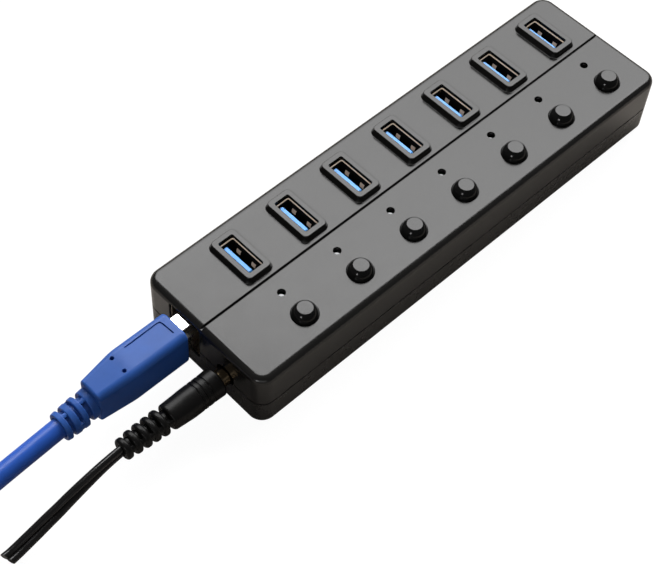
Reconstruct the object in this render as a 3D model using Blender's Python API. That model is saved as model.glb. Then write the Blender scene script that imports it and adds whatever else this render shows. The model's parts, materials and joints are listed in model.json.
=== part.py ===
"""Seven-port powered USB hub with a press switch and a light for every port.

Modelled in metres, +Z up. X runs along the hub, with the two cable sockets at
the -X end; +Y is the side with the ports and -Y the side with the buttons. The
origin is the middle of the flat underside, so the rubber feet stand below z = 0.
Every object is one closed solid and is one physical piece of the hub.
"""

import math

import bmesh
import bpy
from mathutils import Matrix, Vector

for stale in list(bpy.data.objects):
    bpy.data.objects.remove(stale, do_unlink=True)

MM = 0.001

# ------------------------------------------------------------------ dimensions
# All in millimetres.
LENGTH, WIDTH, HEIGHT = 168.2, 49.0, 21.2
CORNER_R = 4.6            # vertical corners
TOP_R = 2.2               # rolled edge round the top face
FOOT_EDGE_R = 0.8         # small break round the underside
SEAM_Z, SEAM_GAP = 9.0, 0.4
WALL, ROOF, FLOOR = 2.4, 1.4, 2.0
LIP_OUT, LIP_CLEAR, LIP_RISE = 1.6, 0.3, 1.9

PITCH, COUNT = 21.5, 7
PORT_X0, PORT_Y = -59.63, 11.03
WINDOW_X, WINDOW_Y = 5.25, 13.3       # plug opening in the collar
LIP_T = 0.7                            # thickness of the collar's inner lip
POCKET_X, POCKET_Y = 6.3, 13.8         # room for the port shell under the lip
COLLAR_X, COLLAR_Y, COLLAR_H = 8.7, 16.8, 2.0
COLLAR_DRAFT_X, COLLAR_DRAFT_Y = 0.6, 0.55
SHELL_X, SHELL_Y, SHELL_T, SHELL_TOP = 5.72, 13.1, 0.3, 21.9
TONGUE_X0, TONGUE_X1, TONGUE_Y, TONGUE_TOP = -1.89, -0.40, 11.0, 21.35

CONTROL_DX = 0.43                      # lights and buttons sit this far past the port
LIGHT_Y, LIGHT_R = -5.45, 1.22
BUTTON_Y, BUTTON_HOLE_R = -14.94, 4.2
CAP_R, CAP_FLAT_R, CAP_TOP = 3.95, 2.35, 24.2
CAP_FLANGE_R, CAP_FLANGE_T = 5.0, 1.0
STEM_R, STEM_END = 1.5, 11.8
GROOVE_Y, GROOVE_W, GROOVE_D = 0.55, 0.65, 0.8

BOARD_Z0, BOARD_Z1 = 4.4, 6.0
GAP = 0.3
SWITCH_SIDE, SWITCH_TOP = 8.0, 13.3

POST_X = (PORT_X0 + PITCH / 2, PORT_X0 + PITCH * 5.5)
POST_Y = 19.0
POST_R, PILOT_R = 2.6, 1.4
SINK_TOP = 1.2                         # depth of the screw head recesses
FOOT_X, FOOT_Y, FOOT_R = 72.0, 16.5, 5.0

USB_Y = 7.2                            # upstream socket and its plug
PLUG_TOP, PLUG_STEP, PLUG_BOTTOM = 18.9, 15.9, 8.6
PLUG_FACE_X = -87.1                    # front of the plug's moulding
DC_Y, DC_Z = -9.7, 10.0                # power jack and its plug
DC_FACE_X = -87.0

TABLE_Z = -0.9                         # underside of the feet
HALF_L, HALF_W = LENGTH / 2, WIDTH / 2

port_x = [PORT_X0 + PITCH * i for i in range(COUNT)]


# ------------------------------------------------------------------- materials
def material(name, colour, roughness, metallic=0.0, transmission=0.0):
    made = bpy.data.materials.new(name)
    made.use_nodes = True
    shader = made.node_tree.nodes["Principled BSDF"]
    shader.inputs["Base Color"].default_value = (*colour, 1.0)
    shader.inputs["Roughness"].default_value = roughness
    shader.inputs["Metallic"].default_value = metallic
    shader.inputs["Transmission Weight"].default_value = transmission
    made.diffuse_color = (*colour, 1.0)
    return made


CASE = material("case_plastic", (0.022, 0.021, 0.020), 0.32)
CAP = material("button_plastic", (0.018, 0.018, 0.018), 0.22)
STEEL = material("plated_steel", (0.72, 0.70, 0.66), 0.25, 1.0)
BLUE_INSERT = material("port_insert_blue", (0.10, 0.36, 0.85), 0.35)
BLACK_INSERT = material("black_insert", (0.02, 0.02, 0.02), 0.45)
BOARD = material("board_green", (0.02, 0.16, 0.06), 0.45)
LIGHT = material("light_epoxy", (0.9, 0.92, 0.92), 0.12, 0.0, 0.4)
CHIP = material("chip_black", (0.03, 0.03, 0.032), 0.5)
CAN = material("capacitor_sleeve", (0.05, 0.08, 0.22), 0.35)
RUBBER = material("rubber_black", (0.025, 0.025, 0.025), 0.8)
SCREW = material("screw_zinc", (0.55, 0.55, 0.57), 0.3, 1.0)
BLUE_CABLE = material("cable_blue", (0.045, 0.13, 0.55), 0.38)
BLACK_CABLE = material("cable_black", (0.018, 0.018, 0.018), 0.35)
NICKEL = material("barrel_nickel", (0.72, 0.66, 0.54), 0.25, 1.0)


# --------------------------------------------------------------------- helpers
def rounded_ring(half_a, half_b, radius, steps):
    """Points round a rounded rectangle centred on (0, 0), counter-clockwise."""
    radius = min(radius, half_a, half_b)
    ring = []
    for quarter, (sa, sb) in enumerate(((1, 1), (-1, 1), (-1, -1), (1, -1))):
        ca, cb = sa * (half_a - radius), sb * (half_b - radius)
        for k in range(steps + 1):
            turn = math.pi / 2 * (quarter + k / steps)
            ring.append((ca + radius * math.cos(turn), cb + radius * math.sin(turn)))
    return ring


def circle_ring(radius, steps, phase=0.0):
    return [
        (
            radius * math.cos(2 * math.pi * k / steps + phase),
            radius * math.sin(2 * math.pi * k / steps + phase),
        )
        for k in range(steps)
    ]


def bore_ring(radius, steps):
    """A circle with as many points as a rounded rectangle of the same steps."""
    turns = [math.pi / 2 * (q + (k + 0.5) / (steps + 1)) for q in range(4) for k in range(steps + 1)]
    return [(radius * math.cos(turn), radius * math.sin(turn)) for turn in turns]


def along_z(ring, z, x=0.0, y=0.0):
    return [Vector((x + a, y + b, z)) for a, b in ring]


def along_x(ring, x, y=0.0, z=0.0):
    """The ring stood up in a YZ plane, so that it turns about +X."""
    return [Vector((x, y + a, z + b)) for a, b in ring]


def skin(mesh, rings):
    """Adds one closed surface through the rings, capped at both ends, to the bmesh."""
    rows = [[mesh.verts.new(point * MM) for point in ring] for ring in rings]
    count = len(rows[0])
    for low, high in zip(rows, rows[1:]):
        for k in range(count):
            j = (k + 1) % count
            mesh.faces.new((low[k], low[j], high[j], high[k]))
    mesh.faces.new(list(reversed(rows[0])))
    mesh.faces.new(rows[-1])


def box(mesh, low, high):
    low, high = Vector(low), Vector(high)
    centre, size = (low + high) / 2, high - low
    place = Matrix.Translation(centre * MM) @ Matrix.Diagonal((*(size * MM), 1.0))
    bmesh.ops.create_cube(mesh, size=1.0, matrix=place)


def finish(name, mesh, finish_material, smooth=35.0):
    """Turns the bmesh into a named object with its faces pointing out."""
    bmesh.ops.recalc_face_normals(mesh, faces=mesh.faces[:])
    data = bpy.data.meshes.new(name)
    mesh.to_mesh(data)
    mesh.free()
    if finish_material:
        data.materials.append(finish_material)
    data.shade_smooth()
    data.set_sharp_from_angle(angle=math.radians(smooth))
    made = bpy.data.objects.new(name, data)
    bpy.context.scene.collection.objects.link(made)
    return made


def helper(name, mesh):
    made = finish(name, mesh, None)
    made.hide_render = True
    made.display_type = "WIRE"
    return made


def boolean(target, tool, operation):
    step = target.modifiers.new(operation.lower() + "_" + tool.name, "BOOLEAN")
    step.operation = operation
    step.solver = "EXACT"
    step.object = tool
    return step


def copy_of(first, name, x, parent=None):
    """Another piece with the same shape, moved along X from the first one."""
    made = bpy.data.objects.new(name, first.data)
    made.location = (x * MM, first.location.y, first.location.z)
    made.parent = parent
    bpy.context.scene.collection.objects.link(made)
    return made


def empty(name, x=0.0, y=0.0, z=0.0):
    made = bpy.data.objects.new(name, None)
    made.location = (x * MM, y * MM, z * MM)
    made.empty_display_size = 0.01
    bpy.context.scene.collection.objects.link(made)
    return made


# ------------------------------------------------------------ cover outer shape
CORNER_STEPS = 4


def case_ring(inset, z):
    radius = max(CORNER_R - inset, 0.6)
    ring = rounded_ring(HALF_L - inset, HALF_W - inset, radius, CORNER_STEPS)
    return along_z(ring, z)


seam_low, seam_high = SEAM_Z - SEAM_GAP / 2, SEAM_Z + SEAM_GAP / 2

# The top cover: cavity ceiling, down its inner wall, over the rebate that takes
# the lower cover's lip, up the outer wall and over the rolled edge.
rings = [
    case_ring(WALL, HEIGHT - ROOF),
    case_ring(WALL, seam_high + LIP_RISE),
    case_ring(LIP_OUT - LIP_CLEAR, seam_high + LIP_RISE),
    case_ring(LIP_OUT - LIP_CLEAR, seam_high),
    case_ring(0.0, seam_high),
]
ROLL_STEPS = 3
for k in range(ROLL_STEPS + 1):
    turn = math.pi / 2 * k / ROLL_STEPS
    rings.append(
        case_ring(TOP_R * (1 - math.cos(turn)), HEIGHT - TOP_R * (1 - math.sin(turn)))
    )
mesh = bmesh.new()
skin(mesh, rings)
top_cover = finish("top_cover", mesh, CASE)

# Raised collars round the ports, and posts for the screws, all one moulding.
mesh = bmesh.new()
for x in port_x:
    base = rounded_ring(
        COLLAR_X / 2 + COLLAR_DRAFT_X, COLLAR_Y / 2 + COLLAR_DRAFT_Y, 1.9, 2
    )
    mid = rounded_ring(COLLAR_X / 2 + 0.05, COLLAR_Y / 2 + 0.05, 1.5, 2)
    rim = rounded_ring(COLLAR_X / 2 - 0.2, COLLAR_Y / 2 - 0.2, 1.3, 2)
    skin(
        mesh,
        [
            along_z(base, HEIGHT - 0.9, x, PORT_Y),
            along_z(base, HEIGHT, x, PORT_Y),
            along_z(mid, HEIGHT + COLLAR_H - 0.25, x, PORT_Y),
            along_z(rim, HEIGHT + COLLAR_H, x, PORT_Y),
        ],
    )
for x in POST_X:
    for y in (-POST_Y, POST_Y):
        post = circle_ring(POST_R, 10)
        skin(
            mesh,
            [along_z(post, FLOOR + GAP, x, y), along_z(post, HEIGHT - ROOF + 0.6, x, y)],
        )
boolean(top_cover, helper("top_cover_additions", mesh), "UNION")

# Everything cut out of the top cover.
mesh = bmesh.new()
for x in port_x:
    pocket = rounded_ring(POCKET_X / 2, POCKET_Y / 2, 0.7, 1)
    window = rounded_ring(WINDOW_X / 2, WINDOW_Y / 2, 0.5, 1)
    lip = HEIGHT + COLLAR_H - LIP_T
    skin(
        mesh,
        [
            along_z(pocket, HEIGHT - ROOF - 1.5, x, PORT_Y),
            along_z(pocket, lip, x, PORT_Y),
            along_z(window, lip, x, PORT_Y),
            along_z(window, HEIGHT + COLLAR_H + 1.0, x, PORT_Y),
        ],
    )
    for y, r, steps in ((LIGHT_Y, LIGHT_R, 10), (BUTTON_Y, BUTTON_HOLE_R, 18)):
        hole = circle_ring(r, steps)
        cx = x + CONTROL_DX
        skin(
            mesh,
            [along_z(hole, HEIGHT - ROOF - 1.0, cx, y), along_z(hole, HEIGHT + 1.0, cx, y)],
        )
box(
    mesh,
    (-HALF_L - 2, GROOVE_Y - GROOVE_W / 2, HEIGHT - GROOVE_D),
    (HALF_L + 2, GROOVE_Y + GROOVE_W / 2, HEIGHT + 1),
)
for x in POST_X:
    for y in (-POST_Y, POST_Y):
        pilot = circle_ring(PILOT_R, 8)
        skin(mesh, [along_z(pilot, FLOOR - 1.0, x, y), along_z(pilot, 12.0, x, y)])
SOCKET_HALF_Y, SOCKET_Z0, SOCKET_Z1 = 6.0, 6.4, 19.4
socket_window = rounded_ring(SOCKET_HALF_Y + GAP, (SOCKET_Z1 - SOCKET_Z0) / 2 + GAP, 0.8, 2)
socket_mid = (SOCKET_Z0 + SOCKET_Z1) / 2
skin(
    mesh,
    [
        along_x(socket_window, -HALF_L - 2, USB_Y, socket_mid),
        along_x(socket_window, -HALF_L + WALL + 1, USB_Y, socket_mid),
    ],
)
jack_hole = circle_ring(3.5, 20)
skin(
    mesh,
    [
        along_x(jack_hole, -HALF_L - 2, DC_Y, DC_Z),
        along_x(jack_hole, -HALF_L + WALL + 1, DC_Y, DC_Z),
    ],
)
end_cutter = helper("top_cover_cuts", mesh)
boolean(top_cover, end_cutter, "DIFFERENCE")

# The bottom cover: underside, outer wall, seam, inner lip, inner wall and floor.
rings = [
    case_ring(FOOT_EDGE_R, 0.0),
    case_ring(FOOT_EDGE_R * 0.29, FOOT_EDGE_R * 0.29),
    case_ring(0.0, FOOT_EDGE_R),
    case_ring(0.0, seam_low),
    case_ring(LIP_OUT, seam_low),
    case_ring(LIP_OUT, seam_low + LIP_RISE),
    case_ring(WALL, seam_low + LIP_RISE),
    case_ring(WALL, FLOOR),
]
mesh = bmesh.new()
skin(mesh, rings)
bottom_cover = finish("bottom_cover", mesh, CASE)

# Rings on the floor that carry the board and guide the screw posts.
mesh = bmesh.new()
for x in POST_X:
    for y in (-POST_Y, POST_Y):
        collar = circle_ring(POST_R + 1.6, 12)
        skin(
            mesh,
            [along_z(collar, FLOOR - 0.6, x, y), along_z(collar, BOARD_Z0 - GAP, x, y)],
        )
boolean(bottom_cover, helper("bottom_cover_additions", mesh), "UNION")

mesh = bmesh.new()
for x in POST_X:
    for y in (-POST_Y, POST_Y):
        sink, hole, guide = circle_ring(3.0, 12), circle_ring(1.6, 12), circle_ring(POST_R + 0.4, 12)
        skin(
            mesh,
            [
                along_z(sink, -1.0, x, y),
                along_z(sink, SINK_TOP, x, y),
                along_z(hole, SINK_TOP, x, y),
                along_z(hole, FLOOR, x, y),
                along_z(guide, FLOOR, x, y),
                along_z(guide, BOARD_Z0 + 1.0, x, y),
            ],
        )
for x in (-FOOT_X, FOOT_X):
    for y in (-FOOT_Y, FOOT_Y):
        seat = circle_ring(FOOT_R + GAP, 20)
        skin(mesh, [along_z(seat, -1.0, x, y), along_z(seat, 0.6, x, y)])
skin(
    mesh,
    [
        along_x(socket_window, -HALF_L - 2, USB_Y, socket_mid),
        along_x(socket_window, -HALF_L + WALL + 1, USB_Y, socket_mid),
    ],
)
skin(
    mesh,
    [
        along_x(jack_hole, -HALF_L - 2, DC_Y, DC_Z),
        along_x(jack_hole, -HALF_L + WALL + 1, DC_Y, DC_Z),
    ],
)
boolean(bottom_cover, helper("bottom_cover_cuts", mesh), "DIFFERENCE")

# ------------------------------------------------------------- board and its parts
mesh = bmesh.new()
outline = rounded_ring(HALF_L - WALL - 0.5, HALF_W - WALL - 0.5, 1.5, 2)
skin(mesh, [along_z(outline, BOARD_Z0), along_z(outline, BOARD_Z1)])
main_board = finish("main_board", mesh, BOARD)
mesh = bmesh.new()
for x in POST_X:
    for y in (-POST_Y, POST_Y):
        hole = circle_ring(POST_R + 0.4, 12)
        skin(mesh, [along_z(hole, BOARD_Z0 - 1, x, y), along_z(hole, BOARD_Z1 + 1, x, y)])
boolean(main_board, helper("main_board_holes", mesh), "DIFFERENCE")


def port_shell_mesh():
    """A folded steel tube, open at the top and at the board."""
    bm = bmesh.new()
    outer = rounded_ring(SHELL_X / 2, SHELL_Y / 2, 0.8, 2)
    inner = rounded_ring(SHELL_X / 2 - SHELL_T, SHELL_Y / 2 - SHELL_T, 0.5, 2)
    rows = []
    for ring, z in (
        (inner, BOARD_Z1 + GAP),
        (outer, BOARD_Z1 + GAP),
        (outer, SHELL_TOP),
        (inner, SHELL_TOP),
    ):
        rows.append([bm.verts.new(p * MM) for p in along_z(ring, z)])
    count = len(outer)
    for low, high in zip(rows, rows[1:] + rows[:1]):
        for k in range(count):
            j = (k + 1) % count
            bm.faces.new((low[k], low[j], high[j], high[k]))
    return bm


def port_tongue_mesh():
    """The moulded insert: a base on the board and the flat tongue with the contacts."""
    bm = bmesh.new()
    half_x, half_y = SHELL_X / 2 - SHELL_T - GAP, SHELL_Y / 2 - SHELL_T - GAP
    base_top = 10.0

    def ring(x0, x1, hy, z):
        return [
            Vector((x1, -hy, z)),
            Vector((x1, hy, z)),
            Vector((x0, hy, z)),
            Vector((x0, -hy, z)),
        ]

    skin(
        bm,
        [
            ring(-half_x, half_x, half_y, BOARD_Z1 + GAP),
            ring(-half_x, half_x, half_y, base_top),
            ring(TONGUE_X0, TONGUE_X1, TONGUE_Y / 2, base_top),
            ring(TONGUE_X0, TONGUE_X1, TONGUE_Y / 2, TONGUE_TOP - 0.4),
            ring(TONGUE_X0 + 0.25, TONGUE_X1 - 0.25, TONGUE_Y / 2 - 0.25, TONGUE_TOP),
        ],
    )
    return bm


def button_cap_mesh():
    """Domed cap, retaining flange and the stem that presses the switch."""
    bm = bmesh.new()
    flange_top = HEIGHT - ROOF - GAP
    flange_low = flange_top - CAP_FLANGE_T
    steps = 16
    profile = [
        (STEM_R, STEM_END),
        (STEM_R, flange_low),
        (CAP_FLANGE_R, flange_low),
        (CAP_FLANGE_R, flange_top),
        (CAP_R, flange_top),
        (CAP_R, HEIGHT + 0.5),
        (CAP_R - 0.35, HEIGHT + 1.45),
        (CAP_R - 0.95, HEIGHT + 2.5),
        (CAP_FLAT_R, CAP_TOP),
    ]
    skin(bm, [along_z(circle_ring(r, steps), z) for r, z in profile])
    return bm


def switch_body_mesh():
    """Square push-switch housing with the bore its plunger slides in."""
    bm = bmesh.new()
    half = SWITCH_SIDE / 2
    steps = 3
    outer = rounded_ring(half, half, 0.5, steps)
    bore = bore_ring(1.95, steps)
    skin(
        bm,
        [
            along_z(outer, BOARD_Z1 + GAP),
            along_z(outer, SWITCH_TOP - 0.4),
            along_z([(a * 0.93, b * 0.93) for a, b in outer], SWITCH_TOP),
            along_z(bore, SWITCH_TOP),
            along_z(bore, 8.6),
        ],
    )
    return bm


def led_mesh():
    """Three-millimetre lamp: domed lens and flange, in one with its stiff leads."""
    bm = bmesh.new()
    top, radius, steps = 19.6, 1.5, 10
    centre = top - radius
    profile = [(1.9, 13.0), (1.9, 14.0), (radius, 14.0), (radius, centre)]
    for k in (1, 2, 3):
        turn = math.pi / 2 * k / 3.6
        profile.append((radius * math.cos(turn), centre + radius * math.sin(turn)))
    skin(bm, [along_z(circle_ring(r, steps), z) for r, z in profile])
    # The two leads are one folded strip, joined to the flange from below.
    lead = [face for face in bm.faces if face.calc_center_median().z < 13.001 * MM]
    bottom = lead[0]
    inset = bmesh.ops.inset_individual(bm, faces=[bottom], thickness=0.55 * MM)
    assert inset is not None
    grown = bmesh.ops.extrude_discrete_faces(bm, faces=[bottom])["faces"][0]
    for vert in grown.verts:
        vert.co.z = (BOARD_Z1 + GAP) * MM
        vert.co.y *= 0.25
    # The extrusion's root keeps its own outline, so the strip tapers into the flange.
    return bm


def repeated(stem, first_mesh, finish_material, xs, y=0.0, parent_stem=None):
    made = []
    first = None
    for index, x in enumerate(xs, start=1):
        name = f"{stem}_{index}"
        if first is None:
            first = finish(name, first_mesh, finish_material)
            first.location = (x * MM, y * MM, 0.0)
            piece = first
        else:
            piece = copy_of(first, name, x)
        if parent_stem:
            axis = empty(f"{parent_stem}_{index}_axis", x, y, 0.0)
            piece.parent = axis
            piece.location = (0.0, 0.0, 0.0)
        made.append(piece)
    return made


control_x = [x + CONTROL_DX for x in port_x]
repeated("port_shell", port_shell_mesh(), STEEL, port_x, PORT_Y)
repeated("port_tongue", port_tongue_mesh(), BLUE_INSERT, port_x, PORT_Y)
repeated("button_cap", button_cap_mesh(), CAP, control_x, BUTTON_Y, "button")
repeated("switch_body", switch_body_mesh(), BLACK_INSERT, control_x, BUTTON_Y)
repeated("led", led_mesh(), LIGHT, control_x, LIGHT_Y)

# Controller chips and the reservoir capacitor stand on the board between the ports.
for name, x, y, side in (
    ("hub_chip_1", port_x[0] + PITCH / 2, 9.0, 9.0),
    ("hub_chip_2", port_x[4] + PITCH / 2, 9.0, 9.0),
):
    mesh = bmesh.new()
    foot = rounded_ring(side / 2, side / 2, 0.2, 1)
    head = rounded_ring(side / 2 - 0.12, side / 2 - 0.12, 0.2, 1)
    skin(
        mesh,
        [
            along_z(foot, BOARD_Z1 + GAP, x, y),
            along_z(foot, BOARD_Z1 + GAP + 0.5, x, y),
            along_z(head, BOARD_Z1 + GAP + 1.0, x, y),
        ],
    )
    finish(name, mesh, CHIP)

mesh = bmesh.new()
can = [
    (4.0, BOARD_Z1 + GAP),
    (4.0, BOARD_Z1 + 1.3),
    (3.75, BOARD_Z1 + 1.7),
    (4.0, BOARD_Z1 + 2.1),
    (4.0, BOARD_Z1 + 10.8),
    (3.6, BOARD_Z1 + 11.3),
]
skin(
    mesh,
    [along_z(circle_ring(r, 16), z, port_x[2] + PITCH / 2, 9.0) for r, z in can],
)
finish("bulk_capacitor", mesh, CAN)

# ------------------------------------------------------------- upstream socket
# A steel box open towards -X, with the receptacle's moulded core inside it.
SOCKET_FRONT, SOCKET_BACK = -HALF_L + 0.5, -66.0
SOCKET_WALL = 0.2
mesh = bmesh.new()


def socket_ring(grow, x):
    half_z = (SOCKET_Z1 - SOCKET_Z0) / 2 + grow
    return along_x(rounded_ring(SOCKET_HALF_Y + grow, half_z, 0.5, 1), x, USB_Y, socket_mid)


skin(
    mesh,
    [
        socket_ring(0.0, SOCKET_BACK),
        socket_ring(0.0, SOCKET_FRONT),
        socket_ring(-SOCKET_WALL, SOCKET_FRONT),
        socket_ring(-SOCKET_WALL, SOCKET_BACK - SOCKET_WALL),
    ],
)
finish("upstream_socket_shell", mesh, STEEL)

mesh = bmesh.new()
core_back, core_front = SOCKET_BACK - SOCKET_WALL - GAP, -72.6


def block_ring(y0, y1, z0, z1, x):
    return [
        Vector((x, y1, z1)),
        Vector((x, y0, z1)),
        Vector((x, y0, z0)),
        Vector((x, y1, z0)),
    ]


inner_y = SOCKET_HALF_Y - SOCKET_WALL - GAP
inner_z0, inner_z1 = SOCKET_Z0 + SOCKET_WALL + GAP, SOCKET_Z1 - SOCKET_WALL - GAP
skin(
    mesh,
    [
        block_ring(USB_Y - inner_y, USB_Y + inner_y, inner_z0, inner_z1, core_back),
        block_ring(USB_Y - inner_y, USB_Y + inner_y, inner_z0, inner_z1, core_front),
        block_ring(USB_Y - 2.8, USB_Y + 2.8, 10.6, 13.8, core_front),
        block_ring(USB_Y - 2.8, USB_Y + 2.8, 10.6, 13.8, -82.2),
    ],
)
finish("upstream_socket_core", mesh, BLACK_INSERT)

# ------------------------------------------------------------------ power jack
mesh = bmesh.new()
jack_outer = rounded_ring(4.4, 3.7, 0.6, 4)
jack_bore = bore_ring(3.15, 4)
skin(
    mesh,
    [
        along_x(jack_outer, -69.5, DC_Y, DC_Z),
        along_x(jack_outer, -HALF_L + WALL + GAP, DC_Y, DC_Z),
        along_x(jack_bore, -HALF_L + WALL + GAP, DC_Y, DC_Z),
        along_x(jack_bore, -73.4, DC_Y, DC_Z),
    ],
)
finish("power_jack_body", mesh, BLACK_INSERT)

mesh = bmesh.new()
pin = [(1.0, -73.7), (1.0, -80.4), (0.75, -80.9)]
skin(mesh, [along_x(circle_ring(r, 10), x, DC_Y, DC_Z) for r, x in pin])
finish("power_jack_pin", mesh, NICKEL)

# ------------------------------------------------------------------ feet, screws
mesh_foot = bmesh.new()
pad = [(FOOT_R - 0.5, TABLE_Z), (FOOT_R, TABLE_Z + 0.35), (FOOT_R, 0.3)]
skin(mesh_foot, [along_z(circle_ring(r, 20), z) for r, z in pad])
first = None
index = 0
for y in (-FOOT_Y, FOOT_Y):
    for x in (-FOOT_X, FOOT_X):
        index += 1
        if first is None:
            first = finish(f"rubber_foot_{index}", mesh_foot, RUBBER)
            first.location = (x * MM, y * MM, 0.0)
        else:
            copy_of(first, f"rubber_foot_{index}", x).location.y = y * MM

mesh_screw = bmesh.new()
screw = [
    (0.7, 11.0),
    (1.1, 10.4),
    (1.1, SINK_TOP - GAP),
    (2.6, SINK_TOP - GAP),
    (2.6, 0.45),
    (2.1, 0.1),
    (1.1, 0.1),
    (0.9, 0.55),
]
skin(mesh_screw, [along_z(circle_ring(r, 10), z) for r, z in screw])
first = None
index = 0
for y in (-POST_Y, POST_Y):
    for x in POST_X:
        index += 1
        if first is None:
            first = finish(f"cover_screw_{index}", mesh_screw, SCREW)
            first.location = (x * MM, y * MM, 0.0)
        else:
            copy_of(first, f"cover_screw_{index}", x).location.y = y * MM

# ------------------------------------------------------------ upstream plug
usb_plug = empty("usb_plug_pull_axis", PLUG_FACE_X, USB_Y, 13.0)


def plug_outline(shrink):
    """The stepped outline of the plug's nose: a narrow upper part on a wide lower one."""
    top, step, bottom = PLUG_TOP - shrink, PLUG_STEP - shrink, PLUG_BOTTOM + shrink
    narrow, wide, bevel = 2.85 - shrink, 4.0 - shrink, 0.9
    half = [
        (narrow - 0.4, top),
        (narrow, top - 0.4),
        (narrow, step),
        (wide - bevel, step),
        (wide, step - bevel),
        (wide, bottom + 0.3),
        (wide - 0.3, bottom),
    ]
    return half + [(-a, b) for a, b in reversed(half)]


def plug_ring(shrink, x):
    return [Vector((x, USB_Y + a, b)) for a, b in plug_outline(shrink)]


NOSE_TIP, NOSE_ROOT = PLUG_FACE_X + 11.75, PLUG_FACE_X - 1.5
mesh = bmesh.new()
rows = []
for shrink, x in ((0.0, NOSE_TIP), (0.0, NOSE_ROOT), (0.35, NOSE_ROOT), (0.35, NOSE_TIP)):
    rows.append([mesh.verts.new(p * MM) for p in plug_ring(shrink, x)])
for low, high in zip(rows, rows[1:] + rows[:1]):
    for k in range(len(low)):
        j = (k + 1) % len(low)
        mesh.faces.new((low[k], low[j], high[j], high[k]))
finish("usb_plug_shell", mesh, STEEL)

# The insert fills the nose round a slot that takes the receptacle's core.
mesh = bmesh.new()
fill = [Vector((0.0, a, b)) for a, b in plug_outline(0.35 + GAP)]


def at_x(points, x):
    return [Vector((x, USB_Y + p.y, p.z)) for p in points]


def slot_ring(x):
    """The slot's outline with as many points as the nose's, so the two can be skinned."""
    side = [
        (1.5, 14.3),
        (3.0, 14.3),
        (3.2, 13.6),
        (3.2, 12.9),
        (3.2, 12.0),
        (3.2, 10.6),
        (3.0, 10.1),
    ]
    points = side + [(-a, b) for a, b in reversed(side)]
    return [Vector((x, USB_Y + a, b)) for a, b in points]


skin(
    mesh,
    [
        at_x(fill, NOSE_ROOT + 0.2),
        at_x(fill, NOSE_TIP - 0.5),
        slot_ring(NOSE_TIP - 0.5),
        slot_ring(PLUG_FACE_X + 1.5),
    ],
)
finish("usb_plug_core", mesh, BLACK_INSERT)

# Cable axis: level at the plug, drooping gently away from the hub.
USB_AXIS = (
    (-117.4, 12.3), (-120.0, 11.85), (-127.0, 10.95), (-129.5, 10.9),
    (-132.0, 10.65), (-140.0, 9.8), (-148.0, 8.9), (-164.0, 6.8),
)


def path_height(points, x):
    if x >= points[0][0]:
        return points[0][1]
    for near, far in zip(points, points[1:]):
        if x >= far[0]:
            return near[1] + (far[1] - near[1]) * (x - near[0]) / (far[0] - near[0])
    return points[-1][1]


USB_CABLE_R, USB_BORE_R = 2.95, 3.15
mesh = bmesh.new()
steps = 3


def body_ring(half_y, half_z, radius, x, z):
    return along_x(rounded_ring(half_y, half_z, radius, steps), x, USB_Y - 0.1, z)


def relief_ring(radius, x):
    return body_ring(radius, radius, radius, x, path_height(USB_AXIS, x))


def nose_pocket(x):
    """Clearance round the nose where it enters the moulding."""
    ring = rounded_ring(4.0 + GAP, (PLUG_TOP - PLUG_BOTTOM) / 2 + GAP, 0.4, steps)
    return along_x(ring, x, USB_Y, (PLUG_TOP + PLUG_BOTTOM) / 2)


GRIP_HALF_Y, GRIP_Z0, GRIP_Z1 = 5.6, 6.2, 20.2
TAIL_HALF_Y, TAIL_Z0, TAIL_Z1 = 4.3, 6.2, 18.75
grip_z, grip_half_z = (GRIP_Z0 + GRIP_Z1) / 2, (GRIP_Z1 - GRIP_Z0) / 2
tail_z, tail_half_z = (TAIL_Z0 + TAIL_Z1) / 2, (TAIL_Z1 - TAIL_Z0) / 2
body = [
    nose_pocket(NOSE_ROOT - GAP),
    nose_pocket(PLUG_FACE_X),
    body_ring(GRIP_HALF_Y - 0.6, grip_half_z - 0.6, 1.3, PLUG_FACE_X, grip_z),
    body_ring(GRIP_HALF_Y, grip_half_z, 1.9, PLUG_FACE_X - 0.7, grip_z),
    body_ring(GRIP_HALF_Y, grip_half_z, 1.9, -105.6, grip_z),
    body_ring(TAIL_HALF_Y, tail_half_z, 1.8, -116.8, tail_z),
    body_ring(TAIL_HALF_Y - 0.5, tail_half_z - 0.6, 1.6, -117.4, tail_z),
]
# The strain relief: four collars on a thinner core.
RELIEF_CORE_R = 3.3
relief = (
    (-117.5, -119.5, 3.65), (-121.0, -122.6, 4.65), (-123.6, -125.5, 4.55), (-126.6, -128.2, 4.35),
)
for number, (start, end, radius) in enumerate(relief):
    edge = 0.0 if number == 0 else 0.2
    if number:
        body.append(relief_ring(RELIEF_CORE_R, start + 0.05))
    body.append(relief_ring(radius if number else 3.6, start - edge))
    body.append(relief_ring(radius, end + 0.2))
    if number < len(relief) - 1:
        body.append(relief_ring(RELIEF_CORE_R, end))
body.append(relief_ring(USB_BORE_R + 0.3, relief[-1][1]))
body.append(relief_ring(USB_BORE_R, relief[-1][1]))
body.append(relief_ring(USB_BORE_R, relief[-1][0] - 0.2))
skin(mesh, body)
finish("usb_plug_overmold", mesh, BLUE_CABLE)

mesh = bmesh.new()
cable = [
    along_x(circle_ring(USB_CABLE_R, 14), x, USB_Y - 0.1, path_height(USB_AXIS, x))
    for x in (relief[-1][0] - 0.3, -129.5, -132.0, -140.0, -148.0, -156.0, -164.0)
]
skin(mesh, cable)
finish("usb_cable", mesh, BLUE_CABLE)
for name in ("usb_plug_shell", "usb_plug_core", "usb_plug_overmold", "usb_cable"):
    piece = bpy.data.objects[name]
    piece.parent = usb_plug
    piece.matrix_parent_inverse = Matrix.Translation(-usb_plug.location)

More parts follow.
